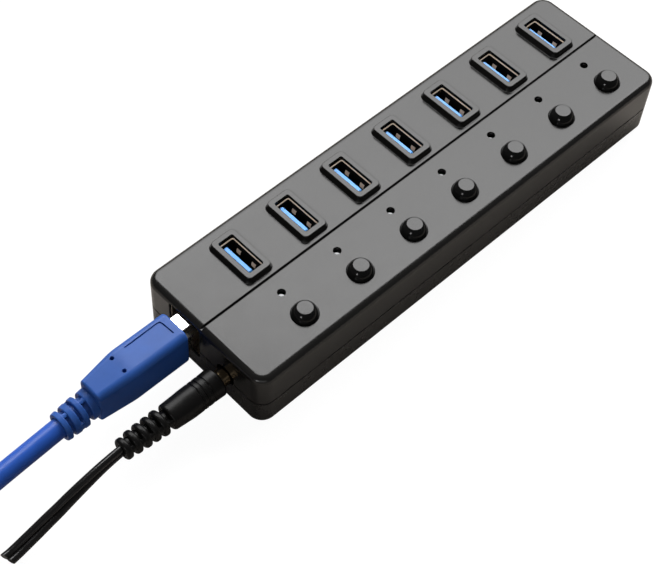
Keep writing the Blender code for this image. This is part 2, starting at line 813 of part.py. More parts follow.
# ------------------------------------------------------------------ power plug
dc_plug = empty("dc_plug_pull_axis", DC_FACE_X, DC_Y, DC_Z)
BARREL_TIP, BARREL_ROOT = DC_FACE_X + 12.5, DC_FACE_X - 1.5
mesh = bmesh.new()
rows = []
for r, x in ((2.75, BARREL_ROOT), (2.75, BARREL_TIP - 0.3), (2.5, BARREL_TIP), (1.3, BARREL_TIP), (1.3, BARREL_ROOT)):
    rows.append([mesh.verts.new(p * MM) for p in along_x(circle_ring(r, 16), x, DC_Y, DC_Z)])
for low, high in zip(rows, rows[1:] + rows[:1]):
    for k in range(len(low)):
        j = (k + 1) % len(low)
        mesh.faces.new((low[k], low[j], high[j], high[k]))
finish("dc_plug_barrel", mesh, NICKEL)


# The cord's centre line (x, z) and the lean of its two leads, which stand one above
# the other at the plug and lie nearly side by side where it comes down to the table.
CORD_PATH = (
    (-99.0, 10.0), (-103.0, 10.3), (-107.0, 10.75), (-110.0, 11.05), (-113.0, 11.35),
    (-116.0, 11.55), (-119.5, 11.6), (-122.0, 11.5), (-125.0, 11.1), (-128.0, 10.5),
    (-131.0, 9.7), (-135.0, 8.5), (-139.0, 7.2), (-142.0, 6.1), (-146.0, 4.9),
    (-150.0, 3.6), (-153.0, 2.7), (-156.0, 1.8), (-158.6, 1.2),
)
CORD_LEAN = ((-121.0, 90.0), (-126.0, 85.0), (-131.0, 76.0), (-140.0, 56.0), (-150.0, 36.0), (-158.6, 20.0))
CORD_LEAD_R, CORD_HALF = 1.1, 2.1

mesh = bmesh.new()
turns = 12
profile = [
    (2.75 + GAP, BARREL_ROOT - GAP),
    (2.75 + GAP, DC_FACE_X),
    (3.8, DC_FACE_X),
    (4.42, DC_FACE_X - 0.7),
    (4.42, -90.8),
    (4.15, -91.0), (4.15, -91.4),
    (4.42, -91.6), (4.42, -92.8),
    (4.15, -93.0), (4.15, -93.4),
    (4.42, -93.6), (4.42, -94.3),
    (4.15, -94.5), (4.15, -94.9),
    (4.42, -95.1),
    (4.42, -98.0),
    (4.3, -100.0),
    (4.15, -103.0),
    (4.05, -104.3),
    (3.5, -105.0),
    (2.5, -105.3),
]
# Five collars, each with a rounded edge, on a thinner core.
CORD_COLLARS = ((-106.5, 4.05), (-109.5, 3.9), (-112.5, 3.8), (-115.5, 3.6), (-118.5, 3.3))
COLLAR_WIDTH, CORD_CORE_R = 2.1, 2.4
for start, radius in CORD_COLLARS:
    profile += [
        (CORD_CORE_R, start + 0.1),
        (radius - 0.3, start - 0.05),
        (radius, start - 0.5),
        (radius, start - COLLAR_WIDTH + 0.5),
        (radius - 0.3, start - COLLAR_WIDTH + 0.05),
    ]
    if (start, radius) != CORD_COLLARS[-1]:
        profile.append((CORD_CORE_R, start - COLLAR_WIDTH - 0.1))
body = [along_x(circle_ring(r, turns), x, DC_Y, path_height(CORD_PATH, x)) for r, x in profile]


def cord_outline(grow, lean):
    """Two round leads side by side, as one outline of the given number of points."""
    points = []
    tip = math.radians(lean - 90.0)
    for k in range(turns):
        turn = 2 * math.pi * k / turns
        a, b = math.cos(turn), math.sin(turn)
        waist = 0.72 if abs(b) < 0.1 else 1.0
        flat, tall = (CORD_LEAD_R * waist + grow) * a, (CORD_HALF + grow) * b
        points.append((flat * math.cos(tip) - tall * math.sin(tip), flat * math.sin(tip) + tall * math.cos(tip)))
    return points


def cord_ring(x, grow=0.0):
    lean = path_height(CORD_LEAN, x)
    return along_x(cord_outline(grow, lean), x, DC_Y, path_height(CORD_PATH, x))


RELIEF_END = CORD_COLLARS[-1][0] - COLLAR_WIDTH
body.append(cord_ring(RELIEF_END, GAP))
body.append(cord_ring(CORD_COLLARS[-1][0] - 0.3, GAP))
skin(mesh, body)
finish("dc_plug_overmold", mesh, BLACK_CABLE)
mesh = bmesh.new()
stations = [CORD_COLLARS[-1][0] - 0.5] + [x for x, _ in CORD_PATH if x < RELIEF_END]
skin(mesh, [cord_ring(x) for x in stations])
finish("dc_cable", mesh, BLACK_CABLE)
for name in ("dc_plug_barrel", "dc_plug_overmold", "dc_cable"):
    piece = bpy.data.objects[name]
    piece.parent = dc_plug
    piece.matrix_parent_inverse = Matrix.Translation(-dc_plug.location)
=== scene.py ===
import json
import math

import bmesh
import bpy
import numpy as np
from mathutils import Matrix, Vector

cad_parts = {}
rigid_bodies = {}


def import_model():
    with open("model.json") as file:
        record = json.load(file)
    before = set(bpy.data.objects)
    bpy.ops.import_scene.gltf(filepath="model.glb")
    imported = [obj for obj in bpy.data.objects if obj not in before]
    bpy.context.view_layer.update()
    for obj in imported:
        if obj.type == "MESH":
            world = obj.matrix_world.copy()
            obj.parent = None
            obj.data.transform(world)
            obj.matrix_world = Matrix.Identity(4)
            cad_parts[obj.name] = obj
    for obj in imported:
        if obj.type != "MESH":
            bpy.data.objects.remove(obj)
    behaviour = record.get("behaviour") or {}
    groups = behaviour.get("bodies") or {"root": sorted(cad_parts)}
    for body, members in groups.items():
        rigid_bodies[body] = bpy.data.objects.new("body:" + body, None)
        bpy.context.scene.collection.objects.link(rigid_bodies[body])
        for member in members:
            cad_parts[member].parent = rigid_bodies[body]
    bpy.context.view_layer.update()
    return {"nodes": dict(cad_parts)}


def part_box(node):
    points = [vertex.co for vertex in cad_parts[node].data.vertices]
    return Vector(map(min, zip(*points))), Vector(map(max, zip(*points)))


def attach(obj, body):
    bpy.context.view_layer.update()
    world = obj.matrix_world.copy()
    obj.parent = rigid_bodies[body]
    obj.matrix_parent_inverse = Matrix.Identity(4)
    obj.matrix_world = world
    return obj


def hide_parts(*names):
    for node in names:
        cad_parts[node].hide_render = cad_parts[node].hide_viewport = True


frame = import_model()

MM = 0.001

# --------------------------------------------------------------- sizes from the CAD
low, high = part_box("bottom_cover")
HALF_L, HALF_W = high.x / MM, high.y / MM
H = 21.2                                       # top face
SEAM_LOW, SEAM_HIGH = 8.8, 9.2
CORNER_R, TOP_R, FOOT_EDGE_R = 4.6, 2.2, 0.8
WALL, ROOF, FLOOR = 2.4, 1.4, 2.0
LIP_OUT, LIP_CLEAR, LIP_RISE = 1.6, 0.3, 1.9
GAP = 0.3


def centre(node):
    a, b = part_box(node)
    return (a + b) / 2 / MM


port_at = [centre(f"port_shell_{i}") for i in range(1, 8)]
light_at = [centre(f"led_{i}") for i in range(1, 8)]
button_at = [centre(f"button_cap_{i}") for i in range(1, 8)]
screw_at = [centre(f"cover_screw_{i}") for i in range(1, 5)]
foot_at = [centre(f"rubber_foot_{i}") for i in range(1, 5)]
USB_Y = centre("usb_plug_shell").y
DC_Y, DC_Z = centre("dc_plug_barrel").y, centre("dc_plug_barrel").z
TABLE_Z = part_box("rubber_foot_1")[0].z / MM
PLUG_FACE_X, DC_FACE_X = -87.1, -87.0


# ----------------------------------------------------------------------- materials
def socket(node, *names):
    for name in names:
        if name in node.inputs:
            return node.inputs[name]
    raise KeyError(names)


def make_material(
    name,
    colour,
    roughness,
    metallic=0.0,
    specular=0.5,
    tint=0.08,
    tint_scale=90.0,
    rough_var=0.05,
    rough_scale=140.0,
    grain_scale=5200.0,
    grain_depth=0.000010,
    wave_depth=0.0,
    wave_scale=45.0,
    coat=0.0,
    transmission=0.0,
    subsurface=0.0,
    brushed=None,
    edge_wear=0.0,
    ior=1.5,
    second=None,
    glow=0.0,
):
    """A Principled material whose colour, roughness and relief come from object-space noise."""
    m = bpy.data.materials.new(name)
    m.use_nodes = True
    tree = m.node_tree
    n, l = tree.nodes, tree.links
    shader = n["Principled BSDF"]
    where = n.new("ShaderNodeTexCoord")
    m.diffuse_color = (*colour, 1.0)

    cloud = n.new("ShaderNodeTexNoise")
    cloud.inputs["Scale"].default_value = tint_scale
    cloud.inputs["Detail"].default_value = 5.0
    cloud.inputs["Roughness"].default_value = 0.6
    l.new(where.outputs["Object"], cloud.inputs["Vector"])
    ramp = n.new("ShaderNodeValToRGB")
    dark = tuple(c * (1 - tint) for c in colour)
    light = tuple(min(1.0, c * (1 + tint)) for c in (second or colour))
    ramp.color_ramp.elements[0].position = 0.3
    ramp.color_ramp.elements[0].color = (*dark, 1)
    ramp.color_ramp.elements[1].position = 0.7
    ramp.color_ramp.elements[1].color = (*light, 1)
    l.new(cloud.outputs["Fac"], ramp.inputs["Fac"])
    colour_out = ramp.outputs["Color"]

    smudge = n.new("ShaderNodeTexNoise")
    smudge.inputs["Scale"].default_value = rough_scale
    smudge.inputs["Detail"].default_value = 6.0
    smudge.inputs["Roughness"].default_value = 0.65
    l.new(where.outputs["Object"], smudge.inputs["Vector"])
    spread = n.new("ShaderNodeMapRange")
    spread.inputs["From Min"].default_value = 0.25
    spread.inputs["From Max"].default_value = 0.75
    spread.inputs["To Min"].default_value = max(0.02, roughness - rough_var)
    spread.inputs["To Max"].default_value = min(1.0, roughness + rough_var)
    l.new(smudge.outputs["Fac"], spread.inputs["Value"])
    rough_out = spread.outputs["Result"]

    if edge_wear > 0.0:
        geometry = n.new("ShaderNodeNewGeometry")
        worn = n.new("ShaderNodeMapRange")
        worn.inputs["From Min"].default_value = 0.52
        worn.inputs["From Max"].default_value = 0.62
        worn.inputs["To Min"].default_value = 0.0
        worn.inputs["To Max"].default_value = edge_wear
        l.new(geometry.outputs["Pointiness"], worn.inputs["Value"])
        mix = n.new("ShaderNodeMix")
        mix.data_type = "RGBA"
        mix.inputs[7].default_value = (*[min(1.0, c * 2.2 + 0.01) for c in colour], 1)
        l.new(worn.outputs["Result"], mix.inputs[0])
        l.new(colour_out, mix.inputs[6])
        colour_out = mix.outputs[2]

    l.new(colour_out, shader.inputs["Base Color"])
    l.new(rough_out, shader.inputs["Roughness"])

    height = None
    if grain_depth > 0.0:
        grain = n.new("ShaderNodeTexNoise")
        grain.inputs["Scale"].default_value = grain_scale
        grain.inputs["Detail"].default_value = 2.5
        grain.inputs["Roughness"].default_value = 0.55
        if brushed is not None:
            stretch = n.new("ShaderNodeMapping")
            stretch.inputs["Scale"].default_value = brushed
            l.new(where.outputs["Object"], stretch.inputs["Vector"])
            l.new(stretch.outputs["Vector"], grain.inputs["Vector"])
        else:
            l.new(where.outputs["Object"], grain.inputs["Vector"])
        bump = n.new("ShaderNodeBump")
        bump.inputs["Strength"].default_value = 1.0
        bump.inputs["Distance"].default_value = grain_depth
        l.new(grain.outputs["Fac"], bump.inputs["Height"])
        height = bump
    if wave_depth > 0.0:
        sink = n.new("ShaderNodeTexNoise")
        sink.inputs["Scale"].default_value = wave_scale
        sink.inputs["Detail"].default_value = 1.0
        l.new(where.outputs["Object"], sink.inputs["Vector"])
        wave = n.new("ShaderNodeBump")
        wave.inputs["Strength"].default_value = 1.0
        wave.inputs["Distance"].default_value = wave_depth
        l.new(sink.outputs["Fac"], wave.inputs["Height"])
        if height is not None:
            l.new(height.outputs["Normal"], wave.inputs["Normal"])
        height = wave
    if height is not None:
        l.new(height.outputs["Normal"], shader.inputs["Normal"])

    shader.inputs["Metallic"].default_value = metallic
    socket(shader, "Specular IOR Level", "Specular").default_value = specular
    shader.inputs["IOR"].default_value = ior
    shader.inputs["Coat Weight"].default_value = coat
    shader.inputs["Coat Roughness"].default_value = 0.12
    shader.inputs["Transmission Weight"].default_value = transmission
    # glow is painted light: an emission that only camera rays see, so the surface looks lit without lighting anything.
    if glow:
        shader.inputs["Emission Color"].default_value = (*colour, 1.0)
        eye_ray = n.new("ShaderNodeLightPath")
        only = n.new("ShaderNodeMath")
        only.operation = "MULTIPLY"
        only.inputs[1].default_value = glow
        l.new(eye_ray.outputs["Is Camera Ray"], only.inputs[0])
        l.new(only.outputs["Value"], shader.inputs["Emission Strength"])
    if subsurface:
        shader.inputs["Subsurface Weight"].default_value = subsurface
        shader.inputs["Subsurface Radius"].default_value = (0.001, 0.001, 0.0012)
    return m


CASE = make_material(
    "case_satin_black", (0.0075, 0.0071, 0.0067), 0.205, specular=0.5, tint=0.10, tint_scale=55,
    rough_var=0.028, rough_scale=120, grain_scale=4400, grain_depth=0.0000120,
    wave_depth=0.000012, wave_scale=30, edge_wear=0.05,
)
CASE_LOW = make_material(
    "case_satin_black_low", (0.0095, 0.0090, 0.0085), 0.27, specular=0.5, tint=0.10, tint_scale=55,
    rough_var=0.035, rough_scale=120, grain_scale=5200, grain_depth=0.0000085,
    wave_depth=0.000012, wave_scale=30, edge_wear=0.05,
)
CAP = make_material(
    "button_gloss_black", (0.0040, 0.0040, 0.0040), 0.13, specular=0.24, tint=0.1, rough_var=0.02,
    rough_scale=260, grain_scale=5600, grain_depth=0.000002,
)
CAP_TOP = make_material(
    "button_satin_black", (0.0065, 0.0064, 0.0063), 0.215, specular=0.5, tint=0.1, rough_var=0.03,
    rough_scale=260, grain_scale=4400, grain_depth=0.000010,
)
STEEL = make_material(
    "port_plated_steel", (0.80, 0.70, 0.58), 0.28, metallic=1.0, tint=0.06, tint_scale=260,
    rough_var=0.08, rough_scale=420, grain_scale=900, grain_depth=0.0000020,
    brushed=(0.35, 0.35, 3.0), second=(0.84, 0.74, 0.61),
)
# Painted shade: the steel inside the tube is painted near-black.
SHELL_PAINTED_SHADE = make_material(
    "port_steel_painted_shade", (0.010, 0.009, 0.008), 0.60, specular=0.12, tint=0.10, tint_scale=260, rough_var=0.08,
    rough_scale=420, grain_scale=900, grain_depth=0.0000020, brushed=(0.35, 0.35, 3.0),
)
# Painted light: the bulge of each spring finger is a light colour with a camera-only glow.
FINGER_PAINTED_LIGHT = make_material(
    "port_spring_finger_painted_light", (0.78, 0.62, 0.50), 0.42, metallic=0.30, tint=0.08, tint_scale=300, rough_var=0.06,
    rough_scale=420, grain_scale=900, grain_depth=0.0000020, brushed=(0.35, 0.35, 3.0), glow=0.16,
)
# Painted light: the lead-in faces at the mouth carry a camera-only glow.
LEAD_IN_PAINTED_LIGHT = make_material(
    "port_lead_in_painted_light", (0.82, 0.67, 0.52), 0.40, metallic=0.20, tint=0.06, tint_scale=300, rough_var=0.06,
    rough_scale=420, grain_scale=900, grain_depth=0.0000020, brushed=(0.35, 0.35, 3.0), glow=0.24,
)
NOSE = make_material(
    "plug_plated_steel", (0.88, 0.87, 0.84), 0.20, metallic=1.0, tint=0.03, tint_scale=200,
    rough_var=0.06, rough_scale=400, grain_scale=1000, grain_depth=0.0000012,
    brushed=(0.3, 3.0, 3.0),
)
GOLD = make_material(
    "contact_gold", (0.83, 0.60, 0.36), 0.24, metallic=1.0, tint=0.06, tint_scale=500,
    rough_var=0.06, rough_scale=800, grain_depth=0.0,
)
INSERT = make_material(
    "insert_sky_blue", (0.090, 0.36, 0.88), 0.38, tint=0.05, tint_scale=300, rough_var=0.05,
    grain_scale=5200, grain_depth=0.000005, subsurface=0.0,
)
# Painted shade: a dark blue for the insert's base and contact side deep in the socket.
INSERT_PAINTED_SHADE = make_material(
    "insert_blue_painted_shade", (0.018, 0.070, 0.180), 0.55, specular=0.2, tint=0.05, tint_scale=300, rough_var=0.05,
    grain_scale=5200, grain_depth=0.000005,
)
BLACK_INSERT = make_material(
    "insert_black", (0.014, 0.014, 0.015), 0.5, tint=0.12, grain_scale=3600, grain_depth=0.00001,
)
BLUE_LEAD = make_material(
    "lead_royal_blue", (0.013, 0.070, 0.350), 0.34, specular=0.40, tint=0.05, tint_scale=120,
    rough_var=0.04, rough_scale=200, grain_scale=3600, grain_depth=0.000004,
    wave_depth=0.000010, wave_scale=110, second=(0.014, 0.073, 0.365),
)
BLUE = make_material(
    "cable_royal_blue", (0.0165, 0.075, 0.305), 0.44, specular=0.36, tint=0.07, tint_scale=120,
    rough_var=0.05, rough_scale=240, grain_scale=4200, grain_depth=0.000012,
    wave_depth=0.00002, wave_scale=120, second=(0.0185, 0.081, 0.325),
)
GRIP = make_material(
    "grip_black", (0.0050, 0.0048, 0.0047), 0.30, specular=0.18, tint=0.12, tint_scale=160,
    rough_var=0.05, rough_scale=320, grain_scale=4200, grain_depth=0.000009,
    wave_depth=0.000012, wave_scale=140,
)
CORD = make_material(
    "cord_black", (0.0050, 0.0048, 0.0047), 0.22, specular=0.42, tint=0.12, tint_scale=160,
    rough_var=0.03, rough_scale=200, grain_scale=3000, grain_depth=0.000002,
    wave_depth=0.000008, wave_scale=140,
)
RUBBER = make_material(
    "foot_rubber", (0.020, 0.020, 0.020), 0.78, tint=0.15, rough_var=0.08, grain_scale=3000,
    grain_depth=0.00003,
)
ZINC = make_material(
    "screw_zinc", (0.62, 0.63, 0.66), 0.30, metallic=1.0, tint=0.05, rough_var=0.08,
    grain_scale=2600, grain_depth=0.000004,
)
# Painted shade: the barrel's metal is darkened to stand for the shade it sits in by the hub.
NICKEL_PAINTED_SHADE = make_material(
    "barrel_nickel", (0.36, 0.27, 0.165), 0.15, metallic=1.0, tint=0.05, rough_var=0.06,
    grain_scale=1200, grain_depth=0.0000015, brushed=(0.3, 3.0, 3.0),
)
# Painted light: the lens carries a camera-only glow in place of light falling on it.
LAMP_PAINTED_GLOW = make_material(
    "lamp_milky_painted_glow", (0.86, 0.88, 0.90), 0.16, tint=0.03, rough_var=0.03, grain_depth=0.0,
    transmission=0.0, coat=0.6, glow=0.75,
)
TIN = make_material(
    "lead_tin", (0.72, 0.72, 0.74), 0.34, metallic=1.0, tint=0.05, rough_var=0.06, grain_depth=0.0,
)
CHIP = make_material(
    "chip_epoxy", (0.022, 0.022, 0.024), 0.55, tint=0.15, grain_scale=5200, grain_depth=0.00002,
)
SLEEVE = make_material(
    "capacitor_sleeve", (0.030, 0.055, 0.18), 0.32, tint=0.06, rough_var=0.05, grain_depth=0.000004,
)


def board_material():
    """Green solder mask over copper tracks, which show as faint lighter lines."""
    m = make_material(
        "board_green", (0.012, 0.105, 0.040), 0.40, tint=0.10, tint_scale=70, rough_var=0.06,
        grain_scale=2400, grain_depth=0.000004, coat=0.2,
    )
    tree = m.node_tree
    n, l = tree.nodes, tree.links
    shader = n["Principled BSDF"]
    where = n.new("ShaderNodeTexCoord")
    tracks = n.new("ShaderNodeTexBrick")
    tracks.inputs["Scale"].default_value = 120.0
    tracks.inputs["Mortar Size"].default_value = 0.012
    tracks.inputs["Color1"].default_value = (0, 0, 0, 1)
    tracks.inputs["Color2"].default_value = (0, 0, 0, 1)
    tracks.inputs["Mortar"].default_value = (1, 1, 1, 1)
    l.new(where.outputs["Object"], tracks.inputs["Vector"])
    mix = n.new("ShaderNodeMix")
    mix.data_type = "RGBA"
    base_link = shader.inputs["Base Color"].links[0]
    l.new(base_link.from_socket, mix.inputs[6])
    mix.inputs[7].default_value = (0.03, 0.20, 0.07, 1)
    l.new(tracks.outputs["Color"], mix.inputs[0])
    l.new(mix.outputs[2], shader.inputs["Base Color"])
    return m


BOARD = board_material()


# ------------------------------------------------------------------------- shapes
def rr(ha, hb, radius, n):
    """Rounded rectangle, counter-clockwise, n segments to a corner."""
    radius = max(1e-3, min(radius, ha - 1e-4, hb - 1e-4))
    out = []
    for q, (sa, sb) in enumerate(((1, 1), (-1, 1), (-1, -1), (1, -1))):
        ca, cb = sa * (ha - radius), sb * (hb - radius)
        for k in range(n + 1):
            t = math.pi / 2 * (q + k / n)
            out.append((ca + radius * math.cos(t), cb + radius * math.sin(t)))
    return out


def circ(radius, n, phase=0.0):
    return [
        (radius * math.cos(2 * math.pi * k / n + phase), radius * math.sin(2 * math.pi * k / n + phase))
        for k in range(n)
    ]


def up(ring, z, x=0.0, y=0.0):
    return [Vector((x + a, y + b, z)) for a, b in ring]


def along(ring, x, y=0.0, z=0.0):
    return [Vector((x, y + a, z + b)) for a, b in ring]


def skin(bm, rings, close=False):
    rows = [[bm.verts.new(p * MM) for p in ring] for ring in rings]
    n = len(rows[0])
    pairs = list(zip(rows, rows[1:]))
    if close:
        pairs.append((rows[-1], rows[0]))
    for a, b in pairs:
        for k in range(n):
            j = (k + 1) % n
            bm.faces.new((a[k], a[j], b[j], b[k]))
    if not close:
        bm.faces.new(list(reversed(rows[0])))
        bm.faces.new(rows[-1])


def box(bm, a, b):
    a, b = Vector(a), Vector(b)
    place = Matrix.Translation((a + b) / 2 * MM) @ Matrix.Diagonal((*((b - a) * MM), 1.0))
    bmesh.ops.create_cube(bm, size=1.0, matrix=place)


def to_object(name, bm):
    bmesh.ops.recalc_face_normals(bm, faces=bm.faces[:])
    data = bpy.data.meshes.new(name)
    bm.to_mesh(data)
    bm.free()
    made = bpy.data.objects.new(name, data)
    bpy.context.scene.collection.objects.link(made)
    return made


def settle(obj):
    """Applies the object's modifiers to its mesh."""
    deps = bpy.context.evaluated_depsgraph_get()
    data = bpy.data.meshes.new_from_object(obj.evaluated_get(deps))
    obj.modifiers.clear()
    old = obj.data
    obj.data = data
    data.name = obj.name
    bpy.data.meshes.remove(old)
    return obj


def carve(obj, bm, operation="DIFFERENCE"):
    tool = to_object("tool", bm)
    step = obj.modifiers.new("step", "BOOLEAN")
    step.operation = operation
    step.solver = "EXACT"
    step.object = tool
    bpy.context.view_layer.update()
    settle(obj)
    data = tool.data
    bpy.data.objects.remove(tool, do_unlink=True)
    bpy.data.meshes.remove(data)
    return obj


def polish(obj, angle=32.0, weighted=True):
    data = obj.data
    data.shade_smooth()
    data.set_sharp_from_angle(angle=math.radians(angle))
    if weighted:
        step = obj.modifiers.new("weights", "WEIGHTED_NORMAL")
        step.keep_sharp = True
        step.weight = 50
        step.mode = "FACE_AREA"
        settle(obj)
    return obj


def ready(obj, materials, body, stands_for=(), angle=32.0, weighted=True):
    if not isinstance(materials, (list, tuple)):
        materials = [materials]
    if len(obj.data.materials):
        obj.data.materials.clear()
    for m in materials:
        obj.data.materials.append(m)
    polish(obj, angle, weighted)
    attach(obj, body)
    if stands_for:
        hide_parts(*stands_for)
    return obj


def arc(n, start=0.0, end=90.0):
    return [math.radians(start + (end - start) * k / n) for k in range(n + 1)]


# ---------------------------------------------------------------------- top cover
CORNER_N = 16


def case_ring(inset, z):
    return up(rr(HALF_L - inset, HALF_W - inset, max(CORNER_R - inset, 0.6), CORNER_N), z)


def cover_top():
    rings = [
        case_ring(WALL, H - ROOF),
        case_ring(WALL, SEAM_HIGH + LIP_RISE),
        case_ring(LIP_OUT - LIP_CLEAR, SEAM_HIGH + LIP_RISE),
        case_ring(LIP_OUT - LIP_CLEAR, SEAM_HIGH),
        case_ring(0.12, SEAM_HIGH),
        case_ring(0.03, SEAM_HIGH + 0.04),
        case_ring(0.0, SEAM_HIGH + 0.13),
    ]
    for t in arc(12):
        rings.append(case_ring(TOP_R * (1 - math.cos(t)), H - TOP_R * (1 - math.sin(t))))
    bm = bmesh.new()
    skin(bm, rings)
    cover = to_object("upper_case", bm)

    # Collars round the ports, with a soft root and a rolled rim; posts for the screws.
    bm = bmesh.new()
    top_h, half_x, half_y = 2.0, 4.35, 8.40
    slope_x, slope_y = 0.60, 0.55
    profile = [(-0.9, 1.45), (-0.02, 1.45), (0.0, 1.42), (0.06, 1.16), (0.16, 1.03), (0.32, 0.90)]
    rim = 0.32
    profile += [(top_h - rim - 0.02, 0.16)]
    profile = [(z, s) for z, s in profile]
    for p in port_at:
        rings = []
        for z, s in profile:
            rings.append(up(rr(half_x + slope_x * s, half_y + slope_y * s, 1.5 + 0.5 * s, 8), H + z, p.x, p.y))
        for t in arc(6):
            grow = 0.10 - rim * (1 - math.cos(t))
            rings.append(
                up(rr(half_x + grow, half_y + grow, 1.5 + grow, 8), H + top_h - rim * (1 - math.sin(t)), p.x, p.y)
            )
        skin(bm, rings)
    for s in screw_at:
        post = circ(2.6, 32)
        skin(bm, [up(post, FLOOR + GAP, s.x, s.y), up(post, H - ROOF + 0.6, s.x, s.y)])
    carve(cover, bm, "UNION")

    bm = bmesh.new()
    for p in port_at:
        lip = H + top_h - 0.7
        rings = [
            up(rr(3.15, 6.9, 0.7, 6), H - ROOF - 1.5, p.x, p.y),
            up(rr(3.15, 6.9, 0.7, 6), lip, p.x, p.y),
            up(rr(2.625, 6.65, 0.45, 6), lip, p.x, p.y),
        ]
        r = 0.16
        for t in arc(5):
            grow = r * (1 - math.cos(t))
            rings.append(up(rr(2.625 + grow, 6.65 + grow, 0.45 + grow, 6), H + top_h - r + r * math.sin(t), p.x, p.y))
        rings.append(up(rr(2.625 + r + 0.3, 6.65 + r + 0.3, 0.45 + r + 0.3, 6), H + top_h + 0.6, p.x, p.y))
        skin(bm, rings)
    for group, radius, edge, n in ((light_at, 1.22, 0.10, 40), (button_at, 4.1, 0.08, 96)):
        for p in group:
            rings = [up(circ(radius, n), H - ROOF - 1.0, p.x, p.y)]
            for t in arc(5):
                rings.append(
                    up(circ(radius + edge * (1 - math.cos(t)), n), H - edge + edge * math.sin(t), p.x, p.y)
                )
            rings.append(up(circ(radius + edge + 0.5, n), H + 0.7, p.x, p.y))
            skin(bm, rings)
    for s in screw_at:
        skin(bm, [up(circ(1.4, 24), FLOOR - 1.0, s.x, s.y), up(circ(1.4, 24), 12.0, s.x, s.y)])
    carve(cover, bm)

    bm = bmesh.new()
    gy, w, d, e = 0.55, 0.325, 0.8, 0.15
    section = [(-w, -d), (w, -d)]
    section += [(w + e * (1 - math.cos(t)), -e + e * math.sin(t)) for t in arc(4)]
    section += [(w + e + 0.8, 0.9), (-w - e - 0.8, 0.9)]
    section += [(-w - e * (1 - math.cos(t)), -e + e * math.sin(t)) for t in reversed(arc(4))]
    skin(bm, [along(section, -HALF_L - 2, gy, H), along(section, HALF_L + 2, gy, H)])
    carve(cover, bm)
    carve(cover, end_windows())
    return cover


def end_windows():
    """Openings in the end wall for the upstream socket and the power jack."""
    bm = bmesh.new()
    z0, z1 = 6.4, 19.4
    mid, hz, hy = (z0 + z1) / 2, (z1 - z0) / 2 + GAP, 6.0 + GAP
    e = 0.2
    rings = [along(rr(hy + e + 0.5, hz + e + 0.5, 1.3, 6), -HALF_L - 0.5, USB_Y, mid)]
    for t in reversed(arc(4)):
        grow = e * (1 - math.cos(t))
        rings.append(along(rr(hy + grow, hz + grow, 0.8 + grow, 6), -HALF_L + e - e * math.sin(t), USB_Y, mid))
    rings.append(along(rr(hy, hz, 0.8, 6), -HALF_L + WALL + 1, USB_Y, mid))
    skin(bm, rings)
    rings = [along(circ(3.5 + e + 0.5, 64), -HALF_L - 0.5, DC_Y, DC_Z)]
    for t in reversed(arc(4)):
        rings.append(along(circ(3.5 + e * (1 - math.cos(t)), 64), -HALF_L + e - e * math.sin(t), DC_Y, DC_Z))
    rings.append(along(circ(3.5, 64), -HALF_L + WALL + 1, DC_Y, DC_Z))
    skin(bm, rings)
    return bm


def cover_bottom():
    rings = []
    for t in arc(7):
        rings.append(case_ring(FOOT_EDGE_R * (1 - math.sin(t)), FOOT_EDGE_R * (1 - math.cos(t))))
    rings += [
        case_ring(0.0, SEAM_LOW - 0.13),
        case_ring(0.03, SEAM_LOW - 0.04),
        case_ring(0.12, SEAM_LOW),
        case_ring(LIP_OUT, SEAM_LOW),
        case_ring(LIP_OUT, SEAM_LOW + LIP_RISE),
        case_ring(WALL, SEAM_LOW + LIP_RISE),
        case_ring(WALL, FLOOR),
    ]
    bm = bmesh.new()
    skin(bm, rings)
    cover = to_object("lower_case", bm)
    bm = bmesh.new()
    for s in screw_at:
        skin(bm, [up(circ(4.2, 40), FLOOR - 0.6, s.x, s.y), up(circ(4.2, 40), 4.1, s.x, s.y)])
    carve(cover, bm, "UNION")
    bm = bmesh.new()
    for s in screw_at:
        rings = [up(circ(3.7, 40), -0.7, s.x, s.y)]
        rings += [up(circ(3.0 + 0.2 * (1 - math.sin(t)), 40), 0.2 * (1 - math.cos(t)), s.x, s.y) for t in arc(4)]
        rings += [
            up(circ(3.0, 40), 1.2, s.x, s.y),
            up(circ(1.6, 40), 1.2, s.x, s.y),
            up(circ(1.6, 40), FLOOR, s.x, s.y),
            up(circ(3.0, 40), FLOOR, s.x, s.y),
            up(circ(3.0, 40), 5.0, s.x, s.y),
        ]
        skin(bm, rings)
    for f in foot_at:
        rings = [up(circ(5.9, 64), -0.6, f.x, f.y)]
        rings += [up(circ(5.3 + 0.15 * (1 - math.sin(t)), 64), 0.15 * (1 - math.cos(t)), f.x, f.y) for t in arc(3)]
        rings += [up(circ(5.3, 64), 0.6, f.x, f.y)]
        skin(bm, rings)
    carve(cover, bm)
    carve(cover, end_windows())
    return cover


ready(cover_top(), CASE, "hub", ["top_cover"], angle=30)
ready(cover_bottom(), CASE_LOW, "hub", ["bottom_cover"], angle=30)


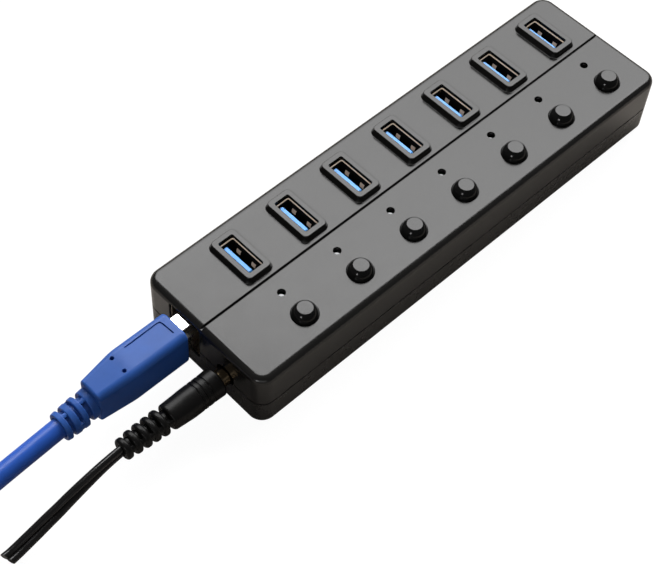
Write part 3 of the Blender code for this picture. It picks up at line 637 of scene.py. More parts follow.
# ---------------------------------------------------------------------- the ports
def port_shell(i, p):
    """Folded tube with rolled mouth, and four spring fingers pressed into its long walls."""
    bm = bmesh.new()
    hx, hy, t = 2.86, 6.55, 0.3
    z0, z1 = 6.3, 21.9
    n = 5
    rings = [
        up(rr(hx - t, hy - t, 0.5, n), z0, p.x, p.y),
        up(rr(hx, hy, 0.8, n), z0, p.x, p.y),
        up(rr(hx, hy, 0.8, n), z1 - 0.1, p.x, p.y),
        up(rr(hx - 0.04, hy - 0.04, 0.76, n), z1 - 0.02, p.x, p.y),
        up(rr(hx - 0.08, hy - 0.08, 0.72, n), z1, p.x, p.y),
        up(rr(hx - 0.14, hy - 0.14, 0.66, n), z1, p.x, p.y),
        up(rr(hx - 0.25, hy - 0.25, 0.55, n), z1 - 0.14, p.x, p.y),
        up(rr(hx - t, hy - t, 0.5, n), z1 - 0.42, p.x, p.y),
    ]
    skin(bm, rings, close=True)
    # Below the lead-in the tube's inside is painted near-black as painted shade, and the lead-in faces that look up
    # carry a painted glow.
    bm.normal_update()
    for face in bm.faces:
        middle = face.calc_center_median() / MM
        inside = abs(middle.x - p.x) < hx - 0.27 and abs(middle.y - p.y) < hy - 0.27
        if z1 - 0.42 < middle.z < z1 - 0.03 and face.normal.z > 0.05:
            face.material_index = 3
        elif inside and middle.z < z1 - 0.42:
            face.material_index = 1
        else:
            face.material_index = 0
    # Spring fingers: bowed leaves that stand in from the long walls.
    for side in (1, -1):
        for y in (-3.15, 3.15):
            leaf = []
            for z, inward, half in (
                (20.7, -0.02, 0.80), (20.2, 0.06, 0.80), (19.7, 0.26, 0.80), (19.3, 0.48, 0.78),
                (18.9, 0.62, 0.76), (18.5, 0.66, 0.72), (18.0, 0.56, 0.66), (17.4, 0.30, 0.60),
            ):
                outer = side * (hx - t + 0.1 - inward)
                inner = side * (hx - t - 0.12 - inward)
                leaf.append([
                    Vector((p.x + outer, p.y + y - half, z)),
                    Vector((p.x + outer, p.y + y + half, z)),
                    Vector((p.x + inner, p.y + y + half, z)),
                    Vector((p.x + inner, p.y + y - half, z)),
                ])
            known = set(bm.faces)
            skin(bm, leaf)
            for face in bm.faces:
                if face not in known:
                    # Painted light on the bulge of the finger; the rest is painted shade.
                    painted_lit = 18.2 < face.calc_center_median().z / MM < 19.75
                    face.material_index = 2 if painted_lit else 1
    obj = to_object(f"port_{i}_shell", bm)
    return ready(obj, [STEEL, SHELL_PAINTED_SHADE, FINGER_PAINTED_LIGHT, LEAD_IN_PAINTED_LIGHT], "hub", [f"port_shell_{i}"], angle=40, weighted=False)


def port_tongue(i, p):
    """Moulded insert on a base block, and its row of contacts."""
    bm = bmesh.new()
    x0, x1, hy, top = -1.89, -0.40, 5.5, 21.35
    cx, hx = (x0 + x1) / 2, (x1 - x0) / 2
    r = 0.25
    rings = [
        up(rr(2.26, 5.95, 0.3, 4), 6.3, p.x, p.y),
        up(rr(2.26, 5.95, 0.3, 4), 9.8, p.x, p.y),
        up(rr(2.16, 5.85, 0.25, 4), 10.0, p.x, p.y),
        up(rr(hx + 0.2, hy + 0.2, 0.3, 4), 10.0, p.x + cx, p.y),
        up(rr(hx, hy, 0.28, 4), 10.3, p.x + cx, p.y),
        up(rr(hx, hy, 0.28, 4), 16.4, p.x + cx, p.y),
        up(rr(hx, hy, 0.28, 4), top - r - 0.05, p.x + cx, p.y),
        up(rr(hx - 0.02, hy - 0.02, 0.27, 4), top - r, p.x + cx, p.y),
        up(rr(hx - r + 0.03, hy - r + 0.03, 0.24, 4), top - 0.04, p.x + cx, p.y),
        up(rr(hx - r, hy - r, 0.24, 4), top, p.x + cx, p.y),
    ]
    skin(bm, rings)
    # The base and the side with the contacts are painted a dark blue, as painted shade of the socket.
    bm.normal_update()
    for face in bm.faces:
        middle = face.calc_center_median() / MM
        in_painted_shade = middle.z < 16.0 or (middle.x - p.x > x1 - 0.05 and middle.z < top - 0.3)
        face.material_index = 1 if in_painted_shade else 0
    obj = to_object(f"port_{i}_insert", bm)
    ready(obj, [INSERT, INSERT_PAINTED_SHADE], "hub", [f"port_tongue_{i}"], angle=40, weighted=False)

    bm = bmesh.new()
    face = p.x + x1
    for y in (-3.5, -1.0, 1.0, 3.5):          # the four long contacts
        rings = []
        for z, out in ((11.0, 0.02), (12.5, 0.10), (17.8, 0.14), (18.6, 0.10), (19.0, -0.05)):
            rings.append([
                Vector((face + out, p.y + y - 0.5, z)),
                Vector((face + out, p.y + y + 0.5, z)),
                Vector((face + out - 0.25, p.y + y + 0.5, z)),
                Vector((face + out - 0.25, p.y + y - 0.5, z)),
            ])
        skin(bm, rings)
    for y in (-4.0, -2.0, 0.0, 2.0, 4.0):      # the five short ones near the tip
        box(bm, (face - 0.1, p.y + y - 0.33, 19.15), (face + 0.06, p.y + y + 0.33, 20.15))
    obj = to_object(f"port_{i}_contacts", bm)
    return ready(obj, GOLD, "hub", angle=40, weighted=False)


for i, p in enumerate(port_at, 1):
    port_shell(i, p)
    port_tongue(i, p)


# ------------------------------------------------------------- buttons and lamps
def button(i, p):
    top, flat, cap_r = 24.2, 2.2, 3.95
    flange_top = H - ROOF - GAP
    flange_low = flange_top - 1.0
    profile = [
        (1.3, 11.8), (1.5, 12.0), (1.5, flange_low), (5.0, flange_low), (5.0, flange_top), (cap_r, flange_top),
        (cap_r, 20.9),
    ]
    side = []
    r1 = 0.30
    bend = 38.0
    r2 = (cap_r - flat - r1 * math.sin(math.radians(bend))) / (1 - math.sin(math.radians(bend)))
    for t in arc(5, 0, bend):
        side.append((flat + r1 * math.sin(t), top - r1 * (1 - math.cos(t))))
    br, bz = side[-1]
    for t in arc(16, bend, 90)[1:]:
        side.append((br + r2 * (math.sin(t) - math.sin(math.radians(bend))),
                     bz - r2 * (math.cos(math.radians(bend)) - math.cos(t))))
    for r, z in reversed(side):
        if z > 20.95:
            profile.append((r, z))
    profile += [(flat * 0.66, top), (flat * 0.33, top), (0.05, top)]
    bm = bmesh.new()
    skin(bm, [up(circ(r, 96), z, p.x, p.y) for r, z in profile])
    for face in bm.faces:                              # the flat of the button has the case's grain
        face.material_index = 1 if face.calc_center_median().z / MM > top - 0.03 else 0
    obj = to_object(f"push_button_{i}", bm)
    return ready(obj, [CAP, CAP_TOP], f"button_{i}", [f"button_cap_{i}"], angle=40, weighted=False)


def lamp(i, p):
    bm = bmesh.new()
    top, radius, n = 19.25, 1.5, 40
    mid = top - radius
    profile = [(1.9, 13.0), (1.9, 13.9), (1.85, 14.0), (radius, 14.0), (radius, mid)]
    profile += [(radius * math.cos(t), mid + radius * math.sin(t)) for t in arc(12, 0, 88)[1:]]
    skin(bm, [up(circ(r, n), z, p.x, p.y) for r, z in profile])
    ready(to_object(f"lamp_{i}", bm), LAMP_PAINTED_GLOW, "hub", [f"led_{i}"], angle=40)
    bm = bmesh.new()
    for y in (-1.27 / 2, 1.27 / 2):
        box(bm, (p.x - 0.25, p.y + y - 0.25, 6.2), (p.x + 0.25, p.y + y + 0.25, 13.02))
    ready(to_object(f"lamp_{i}_leads", bm), TIN, "hub", angle=40, weighted=False)


for i, (b, s) in enumerate(zip(button_at, light_at), 1):
    button(i, b)
    lamp(i, s)


# ---------------------------------------------------------------- underside parts
def foot(i, f):
    bm = bmesh.new()
    profile = [(0.05, TABLE_Z + 0.05), (3.2, TABLE_Z + 0.05), (3.5, TABLE_Z), (4.45, TABLE_Z)]
    profile += [(4.45 + 0.5 * math.sin(t), TABLE_Z + 0.5 * (1 - math.cos(t))) for t in arc(6)[1:]]
    profile += [(5.0, 0.3)]
    skin(bm, [up(circ(r, 72), z, f.x, f.y) for r, z in profile])
    return ready(to_object(f"foot_{i}", bm), RUBBER, "hub", [f"rubber_foot_{i}"], angle=40)


def screw(i, s):
    bm = bmesh.new()
    profile = [(0.4, 11.0), (0.9, 10.4), (1.05, 10.3)]
    z = 10.2
    while z > 1.6:                                     # thread as a run of crests
        profile += [(0.88, z), (1.12, z - 0.22)]
        z -= 0.5
    profile += [(1.0, 0.95), (1.1, 0.9), (2.45, 0.9), (2.6, 0.78), (2.6, 0.5)]
    profile += [(2.6 - 0.7 * (1 - math.cos(t)), 0.5 - 0.38 * math.sin(t)) for t in arc(5)[1:]]
    profile += [(0.05, 0.06)]
    skin(bm, [up(circ(r, 40), z, s.x, s.y) for r, z in profile])
    obj = to_object(f"screw_{i}", bm)
    bm = bmesh.new()                                   # cross recess
    turn = Matrix.Translation(Vector((s.x, s.y, 0)) * MM) @ Matrix.Rotation(0.5 + i, 4, "Z")
    for a, b in ((1.45, 0.26), (0.26, 1.45)):
        rings = []
        for zz, k in ((-0.4, 1.0), (0.1, 1.0), (0.72, 0.45)):
            rings.append([Vector(q) for q in ((a * k, -b, zz), (a * k, b, zz), (-a * k, b, zz), (-a * k, -b, zz))]
                         if a > b else
                         [Vector(q) for q in ((a, -b * k, zz), (a, b * k, zz), (-a, b * k, zz), (-a, -b * k, zz))])
        part = bmesh.new()
        skin(part, rings)
        bmesh.ops.transform(part, matrix=turn, verts=part.verts[:])
        if a > b:
            first = part
        else:
            carve(obj, first)
            carve(obj, part)
    bm.free()
    return ready(obj, ZINC, "hub", [f"cover_screw_{i}"], angle=35)


for i in range(4):
    foot(i + 1, foot_at[i])
    screw(i + 1, screw_at[i])


# --------------------------------------------------------------- upstream plug
PLUG_TOP, PLUG_STEP, PLUG_BOTTOM = 18.9, 15.9, 8.6


def plug_outline(shrink):
    top, step, bottom = PLUG_TOP - shrink, PLUG_STEP - shrink, PLUG_BOTTOM + shrink
    narrow, wide, bevel = 2.85 - shrink, 4.0 - shrink, 1.0
    half = []
    for t in reversed(arc(4)):
        half.append((narrow - 0.4 + 0.4 * math.cos(t), top - 0.4 + 0.4 * math.sin(t)))
    half += [(narrow, step + 0.1), (narrow + 0.1, step)]
    half += [(wide - bevel, step), (wide - bevel * 0.45, step - bevel * 0.2), (wide - bevel * 0.2, step - bevel * 0.45),
             (wide, step - bevel)]
    for t in arc(4):
        half.append((wide - 0.35 + 0.35 * math.cos(t), bottom + 0.35 - 0.35 * math.sin(t)))
    return half + [(-a, b) for a, b in reversed(half)]


def plug_shell():
    tip, root = PLUG_FACE_X + 11.75, PLUG_FACE_X - 1.5
    bm = bmesh.new()
    rings = []
    for shrink, x in ((0.35, root), (0.0, root), (0.0, tip - 0.15), (0.05, tip - 0.03), (0.12, tip),
                      (0.25, tip), (0.35, tip - 0.12)):
        rings.append([Vector((x, USB_Y + a, b)) for a, b in plug_outline(shrink)])
    skin(bm, rings, close=True)
    return ready(to_object("upstream_nose", bm), NOSE, "usb_plug", ["usb_plug_shell"], angle=30,
                 weighted=True)


AXIS = ((-117.4, 12.3), (-120.0, 11.85), (-127.0, 10.95), (-129.5, 10.9), (-132.0, 10.65), (-140.0, 9.8),
        (-148.0, 8.9), (-164.0, 6.8))


def smooth_path(points, x):
    """Catmull-Rom height at x through (x, z) points that run towards -X."""
    pts = list(points)
    if x >= pts[0][0]:
        return pts[0][1]
    if x <= pts[-1][0]:
        return pts[-1][1]
    for k in range(len(pts) - 1):
        if pts[k][0] >= x >= pts[k + 1][0]:
            p0, p1, p2, p3 = pts[max(k - 1, 0)], pts[k], pts[k + 1], pts[min(k + 2, len(pts) - 1)]
            h = p2[0] - p1[0]
            m1 = (p2[1] - p0[1]) / (p2[0] - p0[0])
            m2 = (p3[1] - p1[1]) / (p3[0] - p1[0])
            t = (x - p1[0]) / h
            return (
                (2 * t**3 - 3 * t**2 + 1) * p1[1] + (t**3 - 2 * t**2 + t) * h * m1
                + (-2 * t**3 + 3 * t**2) * p2[1] + (t**3 - t**2) * h * m2
            )
    return pts[-1][1]


def usb_z(x):
    return smooth_path(AXIS, x)


CABLE_R, BORE_R, CORE_R = 2.95, 3.15, 3.3
BODY_Y = USB_Y - 0.1


# Collars of the strain relief: start, end, radius at the start and at the end.
RELIEF = (
    (-117.2, -119.5, 4.5, 4.45), (-121.0, -122.6, 4.7, 4.65), (-123.6, -125.5, 4.6, 4.5), (-126.6, -128.2, 4.45, 4.3),
)


def overmold():
    """Moulded grip: flat-sided box, tapered towards the cable, with a slotted strain relief."""
    n = 10
    bm = bmesh.new()

    def section(x, hy, z_low, z_high, radius):
        return along(rr(hy, (z_high - z_low) / 2, radius, n), x, BODY_Y, (z_low + z_high) / 2)

    z0, z1 = 6.2, 20.2
    rings = [
        along(rr(4.3, 5.45, 0.4, n), PLUG_FACE_X - 1.8, USB_Y, 13.75),
        along(rr(4.3, 5.45, 0.4, n), PLUG_FACE_X - 0.15, USB_Y, 13.75),
        along(rr(4.45, 5.6, 0.5, n), PLUG_FACE_X, USB_Y, 13.75),
    ]
    edge = 0.75
    for t in arc(6):
        k = edge * (1 - math.sin(t))
        rings.append(section(PLUG_FACE_X - edge * (1 - math.cos(t)), 5.6 - k, z0 + k, z1 - k, 2.3 - k * 0.5))
    # Straight grip, then the taper, blended with a short curve at each shoulder.
    side_slope, top_slope = 1.3 / 10.4, 1.45 / 10.9

    def taper(x, start):
        run = start - x
        return 0.0 if run <= -1.4 else ((run + 1.4) ** 2 / 5.6 if run < 1.4 else run)

    def tail(x):
        return 5.6 - side_slope * taper(x, -106.2), z0, z1 - top_slope * taper(x, -105.7)

    for k in range(45):
        x = -88.5 - k * (116.6 - 88.5) / 44
        hy, z_low, z_high = tail(x)
        rings.append(section(x, hy, z_low, z_high, 2.3 - 0.03 * taper(x, -106.2)))
    x_end = -116.6
    hy, z_low, z_high = tail(x_end)
    for t in arc(6)[1:]:
        k = 0.9 * (1 - math.cos(t))
        rings.append(section(x_end - 0.8 * math.sin(t), hy - k, z_low + k, z_high - k, max(0.8, 1.9 - k * 0.6)))
    last = RELIEF[-1]
    rings.append(along(rr(CORE_R, CORE_R, CORE_R - 0.01, n), x_end - 0.82, BODY_Y, usb_z(x_end - 0.82)))
    for x in (-119.0, -122.0, -125.0, last[1] + 0.4):
        rings.append(along(rr(CORE_R, CORE_R, CORE_R - 0.01, n), x, BODY_Y, usb_z(x)))
    rings.append(along(rr(BORE_R, BORE_R, BORE_R - 0.01, n), last[1] + 0.4, BODY_Y, usb_z(last[1] + 0.4)))
    rings.append(along(rr(BORE_R, BORE_R, BORE_R - 0.01, n), last[0] - 0.2, BODY_Y, usb_z(last[0] - 0.2)))
    skin(bm, rings)
    grip = to_object("upstream_grip", bm)

    # Strain relief: four collars on the core, tied by webs that alternate in direction.
    bm = bmesh.new()
    for xa, xb, ra, rb in RELIEF[:-1]:
        collar_ring(bm, xa, xb, ra, rb, BODY_Y, usb_z, 56)
    carve(grip, bm, "UNION")
    # The last collar is bored for the cable.
    bm = bmesh.new()
    xa, xb, ra, rb = last
    e = 0.3
    profile = [(xa, BORE_R), (xa, ra - e)]
    profile += [(xa - e * (1 - math.cos(t)), ra - e + e * math.sin(t)) for t in arc(4)[1:]]
    profile += [(xb + e * (1 - math.sin(t)), rb - e + e * math.cos(t)) for t in arc(4)]
    profile += [(xb, BORE_R + 0.15), (xb + 0.1, BORE_R)]
    skin(bm, [along(circ(r, 56), x, BODY_Y, usb_z(x)) for x, r in profile], close=True)
    carve(grip, bm, "UNION")
    bm = bmesh.new()
    for (a0, a1, ra, rb), (b0, b1, rc, rd), angle, half in zip(RELIEF, RELIEF[1:], (90.0, 0.0, 90.0), (0.7, 1.5, 0.7)):
        web(bm, a1 + 0.4, b0 - 0.4, min(rb, rc) - 0.15, BODY_Y, usb_z, angle, half)
    carve(grip, bm, "UNION")

    # Guide line and finger dimples pressed into the top face.
    bm = bmesh.new()
    z = z1
    line = [(-102.5, 10.15), (-90.9, 10.3), (-90.2, 10.1), (-89.95, 9.5), (-89.7, 4.9)]
    half = 0.25
    path = []
    for a, b in line:
        path.append(Vector((a, b, 0)))
    left, right = [], []
    for k, q in enumerate(path):
        before = path[max(k - 1, 0)]
        after = path[min(k + 1, len(path) - 1)]
        d = (after - before).normalized()
        side = Vector((-d.y, d.x, 0)) * half
        left.append(q + side)
        right.append(q - side)
    outline = left + list(reversed(right))
    skin(bm, [[v + Vector((0, 0, z - 0.50)) for v in outline], [v + Vector((0, 0, z + 1)) for v in outline]])
    carve(grip, bm)
    bm = bmesh.new()
    for x, y in ((-107.1, 9.95), (-107.1, 4.65)):
        zt = tail(x)[2]
        rings = [up(circ(0.50, 32), zt - 2.0, x, y), up(circ(0.60, 32), zt - 1.8, x, y)]
        rings += [up(circ(0.62, 32), zt - 0.16, x, y), up(circ(0.68, 32), zt + 0.10, x, y)]
        rings += [up(circ(0.70, 32), zt + 0.8, x, y)]
        skin(bm, rings)
    carve(grip, bm)
    return ready(grip, BLUE, "usb_plug", ["usb_plug_overmold"], angle=38)


def collar_ring(bm, xa, xb, ra, rb, y, path, n):
    e = 0.35
    profile = [(xa, ra - e * 1.6)]
    profile += [(xa - e + e * math.cos(t), ra - e + e * math.sin(t)) for t in arc(4)]
    profile += [(xb + e - e * math.cos(t), rb - e + e * math.sin(t)) for t in reversed(arc(4))]
    profile += [(xb, rb - e * 1.6)]
    skin(bm, [along(circ(r, n), x, y, path(x)) for x, r in profile])


def web(bm, xa, xb, radius, y, path, angle, half):
    """A pair of opposite ribs that tie one collar of a strain relief to the next."""
    steps = 3
    for side in (0.0, 180.0):
        a = math.radians(angle + side)
        ca, sa = math.cos(a), math.sin(a)
        rings = []
        for k in range(steps + 1):
            x = xa + (xb - xa) * k / steps
            z = path(x)
            ring = []
            for u, v in ((radius - 2.0, -half), (radius - 0.25, -half), (radius, -half * 0.6), (radius + 0.05, 0),
                         (radius, half * 0.6), (radius - 0.25, half), (radius - 2.0, half)):
                ring.append(Vector((x, y + u * ca - v * sa, z + u * sa + v * ca)))
            rings.append(ring)
        skin(bm, rings)


def cable():
    bm = bmesh.new()
    n = 48
    rings = []
    start = RELIEF[-1][0] - 0.3
    for k in range(80):
        x = start - k * (164.0 + start) / 79
        rings.append(along(circ(CABLE_R, n), x, BODY_Y, usb_z(x)))
    rings.append(along(circ(CABLE_R - 0.08, n), -164.0 - 0.08, BODY_Y, usb_z(-164.0)))
    skin(bm, rings)
    return ready(to_object("upstream_lead", bm), BLUE_LEAD, "usb_plug", ["usb_cable"], angle=40)


plug_shell()
overmold()
cable()


# ------------------------------------------------------------------- power plug
CORD_AXIS = (
    (-99.0, 10.0), (-103.0, 10.3), (-107.0, 10.75), (-110.0, 11.05), (-113.0, 11.35), (-116.0, 11.55), (-119.5, 11.6),
    (-122.0, 11.5), (-125.0, 11.1), (-128.0, 10.5), (-131.0, 9.7), (-135.0, 8.5), (-139.0, 7.2), (-142.0, 6.1),
    (-146.0, 4.9), (-150.0, 3.6), (-153.0, 2.7), (-156.0, 1.8), (-158.6, 1.2),
)
CORD_LEAN = ((-121.0, 90.0), (-126.0, 85.0), (-131.0, 76.0), (-140.0, 56.0), (-150.0, 36.0), (-158.6, 20.0))
CORD_COLLARS = ((-106.5, 4.05), (-109.5, 3.9), (-112.5, 3.8), (-115.5, 3.6), (-118.5, 3.3))
CORD_LEAD_R, CORD_HALF, COLLAR_W, CORD_CORE_R = 1.1, 2.1, 2.1, 2.4
CORD_SLANT = 1.6


def cord_z(x):
    return smooth_path(CORD_AXIS, x)


def power_barrel():
    tip, root = DC_FACE_X + 12.5, DC_FACE_X - 1.5
    bm = bmesh.new()
    rings = [along(circ(r, 64), x, DC_Y, DC_Z) for r, x in (
        (1.3, root), (2.75, root), (2.75, tip - 0.35), (2.66, tip - 0.12), (2.45, tip), (1.6, tip), (1.38, tip - 0.1),
        (1.3, tip - 0.3))]
    skin(bm, rings, close=True)
    return ready(to_object("power_nose", bm), NICKEL_PAINTED_SHADE, "dc_plug", ["dc_plug_barrel"], angle=35)


def power_grip():
    n = 64
    bm = bmesh.new()

    profile = [(DC_FACE_X - 1.8, 3.05), (DC_FACE_X - 0.1, 3.05), (DC_FACE_X, 3.15), (DC_FACE_X, 3.8)]
    profile += [(DC_FACE_X - 0.75 * (1 - math.cos(t)), 3.8 + 0.75 * math.sin(t)) for t in arc(6)[1:]]
    for gx in (-91.2, -93.2, -94.7):
        profile += [(gx + 0.36, 4.42), (gx + 0.28, 4.28), (gx + 0.12, 4.14), (gx - 0.12, 4.13), (gx - 0.28, 4.26),
                    (gx - 0.36, 4.42)]
    profile += [(-96.5, 4.42), (-98.0, 4.42), (-99.0, 4.37), (-100.0, 4.3), (-101.5, 4.23), (-103.0, 4.15), (-104.2, 4.08)]
    profile += [(-104.2 - 0.8 * math.sin(t), 4.08 - 0.8 * (1 - math.cos(t))) for t in arc(5)[1:]]
    profile += [(-105.05, CORD_CORE_R), (-107.1, CORD_CORE_R), (-110.4, CORD_CORE_R), (-113.7, CORD_CORE_R),
                (-116.7, CORD_CORE_R), (-119.1, CORD_CORE_R), (-119.6, 1.5)]
    skin(bm, [along(circ(r, n), x, DC_Y, cord_z(x)) for x, r in profile])
    grip = to_object("power_grip", bm)
    bm = bmesh.new()
    for start, radius in CORD_COLLARS:
        e, end = 0.8, start - COLLAR_W
        ring = [(start + 0.0, CORD_CORE_R - 0.5)]
        ring += [(start - e * (1 - math.cos(t)), radius - e + e * math.sin(t)) for t in arc(7)]
        ring += [(end + e * (1 - math.sin(t)), radius - e + e * math.cos(t)) for t in arc(7)]
        ring += [(end, CORD_CORE_R - 0.5)]
        skin(bm, [along(circ(r, 52, 0.031), x, DC_Y, cord_z(x)) for x, r in ring])
    carve(grip, bm, "UNION")
    bm = bmesh.new()
    web(bm, -104.6, CORD_COLLARS[0][0] - 0.7, CORD_COLLARS[0][1] - 0.35, DC_Y, cord_z, 150.0, 0.85)
    for (xa, ra), (xb, rb) in zip(CORD_COLLARS, CORD_COLLARS[1:]):
        web(bm, xa - COLLAR_W + 0.7, xb - 0.7, rb - 0.25, DC_Y, cord_z, 150.0, 0.85)
    carve(grip, bm, "UNION")
    bm = bmesh.new()                                   # mouth that the cord comes out of
    last, end = CORD_COLLARS[-1][0], CORD_COLLARS[-1][0] - COLLAR_W
    skin(bm, [along(cord_outline(0.22, 90.0), x, DC_Y, cord_z(x)) for x in (last - 0.3, end - 1.0)])
    carve(grip, bm)
    return ready(grip, GRIP, "dc_plug", ["dc_plug_overmold"], angle=38)


def cord_outline(grow, lean):
    """Two round conductors side by side with a groove between them, leaning by an angle."""
    n = 96
    tip = math.radians(lean - 90.0)
    radius = CORD_LEAD_R + grow
    offset = CORD_HALF - CORD_LEAD_R
    out = []
    for k in range(n):
        t = 2 * math.pi * k / n
        b = (CORD_HALF + grow) * math.sin(t)
        reach = max(abs(b), 0.05)
        half = math.sqrt(max(0.0, radius**2 - (reach - offset) ** 2))
        a = math.copysign(half, math.cos(t)) if abs(math.cos(t)) > 1e-6 else 0.0
        out.append((a * math.cos(tip) - b * math.sin(tip), a * math.sin(tip) + b * math.cos(tip)))
    return out


def cord():
    """Flat twin lead, upright where it leaves the plug and turning as it comes down."""
    bm = bmesh.new()
    rings = []
    start, steps = CORD_COLLARS[-1][0] - 0.5, 110
    for k in range(steps + 1):
        x = start - k * (158.6 + start) / steps
        rings.append(along(cord_outline(0.0, smooth_path(CORD_LEAN, x)), x, DC_Y, cord_z(x)))
    for q in rings[-1]:                                # the end is snipped at a slant
        q.x -= CORD_SLANT * max(0.0, q.y - DC_Y + CORD_HALF) / (2 * CORD_HALF)
    skin(bm, rings)
    return ready(to_object("power_lead", bm), CORD, "dc_plug", ["dc_cable"], angle=50)


power_barrel()
power_grip()
cord()

# ------------------------------------------------- CAD pieces that only need a finish
for names, material, slot in (
    (["main_board"], BOARD, "board"),
    ([f"switch_body_{i}" for i in range(1, 8)], BLACK_INSERT, "black_insert"),
    (["upstream_socket_core", "power_jack_body", "usb_plug_core"], BLACK_INSERT, "black_insert"),
    (["upstream_socket_shell"], STEEL, "steel_shell"),
    (["power_jack_pin"], NICKEL_PAINTED_SHADE, "nickel"),
    (["hub_chip_1", "hub_chip_2"], CHIP, "chip"),
    (["bulk_capacitor"], SLEEVE, "capacitor_sleeve"),
):
    for name in names:
        node = frame["nodes"][name]
        node.data.materials.clear()
        node.data.materials.append(material)

# ----------------------------------------------------------------- floor and light
FLOOR_MIRRORED = (0.34, 0.31, 0.28)
FLOOR_BOUNCE = (0.13, 0.12, 0.11)
bm = bmesh.new()
bmesh.ops.create_grid(bm, x_segments=2, y_segments=2, size=6.0)
floor = to_object("floor", bm)
floor.location.z = TABLE_Z * MM
paper = bpy.data.materials.new("paper")
paper.use_nodes = True
n, l = paper.node_tree.nodes, paper.node_tree.links
shader = n["Principled BSDF"]
shader.inputs["Base Color"].default_value = (0.93, 0.93, 0.93, 1)
shader.inputs["Roughness"].default_value = 0.9
socket(shader, "Specular IOR Level", "Specular").default_value = 0.0
# The sheet is blown out to white for the eye, and throws back little light at the hub.
glow = n.new("ShaderNodeEmission")
glow.inputs["Strength"].default_value = 1.06
seen = n.new("ShaderNodeMixShader")
seen.inputs["Fac"].default_value = 0.90
l.new(shader.outputs["BSDF"], seen.inputs[1])
l.new(glow.outputs["Emission"], seen.inputs[2])
dull = n.new("ShaderNodeBsdfDiffuse")
dull.inputs["Color"].default_value = (*FLOOR_BOUNCE, 1)
mirrored = n.new("ShaderNodeBsdfDiffuse")
mirrored.inputs["Color"].default_value = (*FLOOR_MIRRORED, 1)
ray = n.new("ShaderNodeLightPath")
other = n.new("ShaderNodeMixShader")
l.new(ray.outputs["Is Glossy Ray"], other.inputs["Fac"])
l.new(dull.outputs["BSDF"], other.inputs[1])
l.new(mirrored.outputs["BSDF"], other.inputs[2])
pick = n.new("ShaderNodeMixShader")
l.new(ray.outputs["Is Camera Ray"], pick.inputs["Fac"])
l.new(other.outputs["Shader"], pick.inputs[1])
l.new(seen.outputs["Shader"], pick.inputs[2])
# From below, the table isn't there, so that the underside can be looked at.
clear = n.new("ShaderNodeBsdfTransparent")
side = n.new("ShaderNodeNewGeometry")
below = n.new("ShaderNodeMath")
below.operation = "MAXIMUM"
l.new(side.outputs["Backfacing"], below.inputs[0])
l.new(ray.outputs["Is Shadow Ray"], below.inputs[1])
sheet = n.new("ShaderNodeMixShader")
l.new(below.outputs["Value"], sheet.inputs["Fac"])
l.new(pick.outputs["Shader"], sheet.inputs[1])
l.new(clear.outputs["BSDF"], sheet.inputs[2])
l.new(sheet.outputs["Shader"], n["Material Output"].inputs["Surface"])
floor.data.materials.append(paper)

world = bpy.data.worlds.new("studio")
bpy.context.scene.world = world
world.use_nodes = True
world.node_tree.nodes["Background"].inputs["Color"].default_value = (1, 1, 1, 1)
world.node_tree.nodes["Background"].inputs["Strength"].default_value = 0.11


SOFTBOX_LOW, SOFTBOX_HIGH = 0.32, 1.68


def softbox(name, azimuth, elevation, distance, width, height, power, aim=(0, 0, 0.01), spread=180.0):
    """A rectangular lamp; azimuth is measured from +X towards +Y."""
    a, e = math.radians(azimuth), math.radians(elevation)
    lamp = bpy.data.lights.new(name, "AREA")
    lamp.shape = "RECTANGLE"
    lamp.size, lamp.size_y = width, height
    lamp.energy = power
    lamp.spread = math.radians(spread)
    made = bpy.data.objects.new(name, lamp)
    aim = Vector(aim)
    made.location = aim + distance * Vector((math.cos(a) * math.cos(e), math.sin(a) * math.cos(e), math.sin(e)))
    made.rotation_euler = (made.location - aim).to_track_quat("Z", "Y").to_euler()
    bpy.context.scene.collection.objects.link(made)
    return made


back_light = softbox("back_softbox", 41, 41, 1.3, 1.9, 1.15, 27.6)
wide = softbox("back_spill", 43, 36, 1.35, 2.8, 1.5, 29)
wide.visible_glossy = False
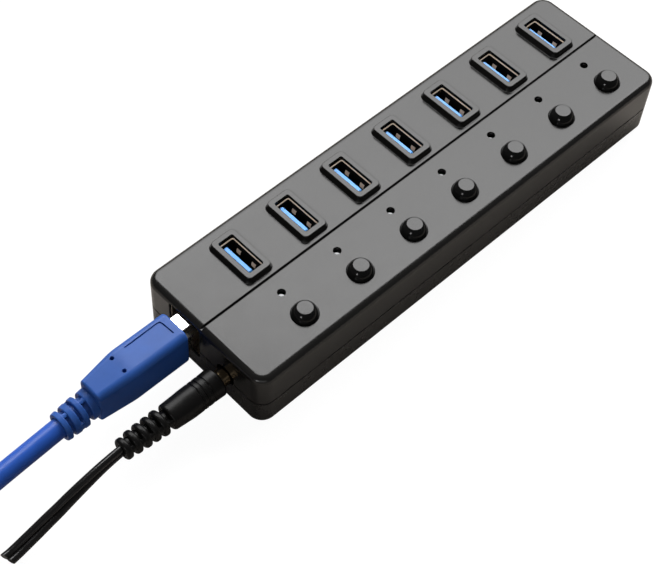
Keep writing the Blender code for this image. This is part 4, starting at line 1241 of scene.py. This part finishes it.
# The box is a little brighter towards its upper edge.
back_light.data.use_nodes = True
n, l = back_light.data.node_tree.nodes, back_light.data.node_tree.links
place = n.new("ShaderNodeNewGeometry")
part = n.new("ShaderNodeSeparateXYZ")
l.new(place.outputs["Parametric"], part.inputs["Vector"])
fade = n.new("ShaderNodeMapRange")
fade.inputs["From Min"].default_value = 0.0
fade.inputs["From Max"].default_value = 1.0
fade.inputs["To Min"].default_value = SOFTBOX_LOW
fade.inputs["To Max"].default_value = SOFTBOX_HIGH
l.new(part.outputs["Y"], fade.inputs["Value"])
l.new(fade.outputs["Result"], n["Emission"].inputs["Strength"])
fill = softbox("front_fill", -110, 60, 2.0, 1.2, 1.2, 1.6)
fill.visible_glossy = False
near = softbox("near_softbox", 223, 22, 1.9, 1.7, 0.65, 2.8)
softbox("side_spark", 195, 21, 2.0, 0.22, 0.22, 2.4)
cap_spark = softbox("cap_spark", 195, 21, 2.0, 0.20, 0.20, 11.0)
caps, all_but_caps = bpy.data.collections.new("caps"), bpy.data.collections.new("all_but_caps")
for i in range(1, 8):
    caps.objects.link(bpy.data.objects[f"push_button_{i}"])
    all_but_caps.objects.link(bpy.data.objects[f"push_button_{i}"])
for entry in all_but_caps.collection_objects:
    entry.light_linking.link_state = "EXCLUDE"
cap_spark.light_linking.receiver_collection = caps
near.light_linking.receiver_collection = all_but_caps
under = softbox("under_fill", 0, -90, 0.9, 1.0, 0.7, 4.0)
under.visible_glossy = False

lead_light = softbox("lead_strip", 100, 62, 1.2, 0.30, 0.30, 3.2, aim=(-0.14, 0.0, 0.008))
leads = bpy.data.collections.new("leads")
for name in ("power_lead", "upstream_lead"):
    leads.objects.link(bpy.data.objects[name])
lead_light.light_linking.receiver_collection = leads

scene = bpy.context.scene
scene.view_settings.view_transform = "Standard"
scene.view_settings.look = "None"
scene.view_settings.exposure = 0.0

eye = bpy.data.cameras.new("camera")
eye.sensor_fit = "HORIZONTAL"
eye.sensor_width = 36.0
eye.lens = 82.585
eye.clip_start, eye.clip_end = 0.01, 20.0
camera = bpy.data.objects.new("camera", eye)
right = Vector((0.7225, -0.6901, 0.04203)).normalized()
back = Vector((-0.4193, -0.38903, 0.82027)).normalized()
true_up = back.cross(right).normalized()
right = true_up.cross(back).normalized()
turn = Matrix((right, true_up, back)).transposed().to_4x4()
camera.matrix_world = Matrix.Translation((-0.223778, -0.175626, 0.366962)) @ turn
scene.collection.objects.link(camera)
scene.camera = camera
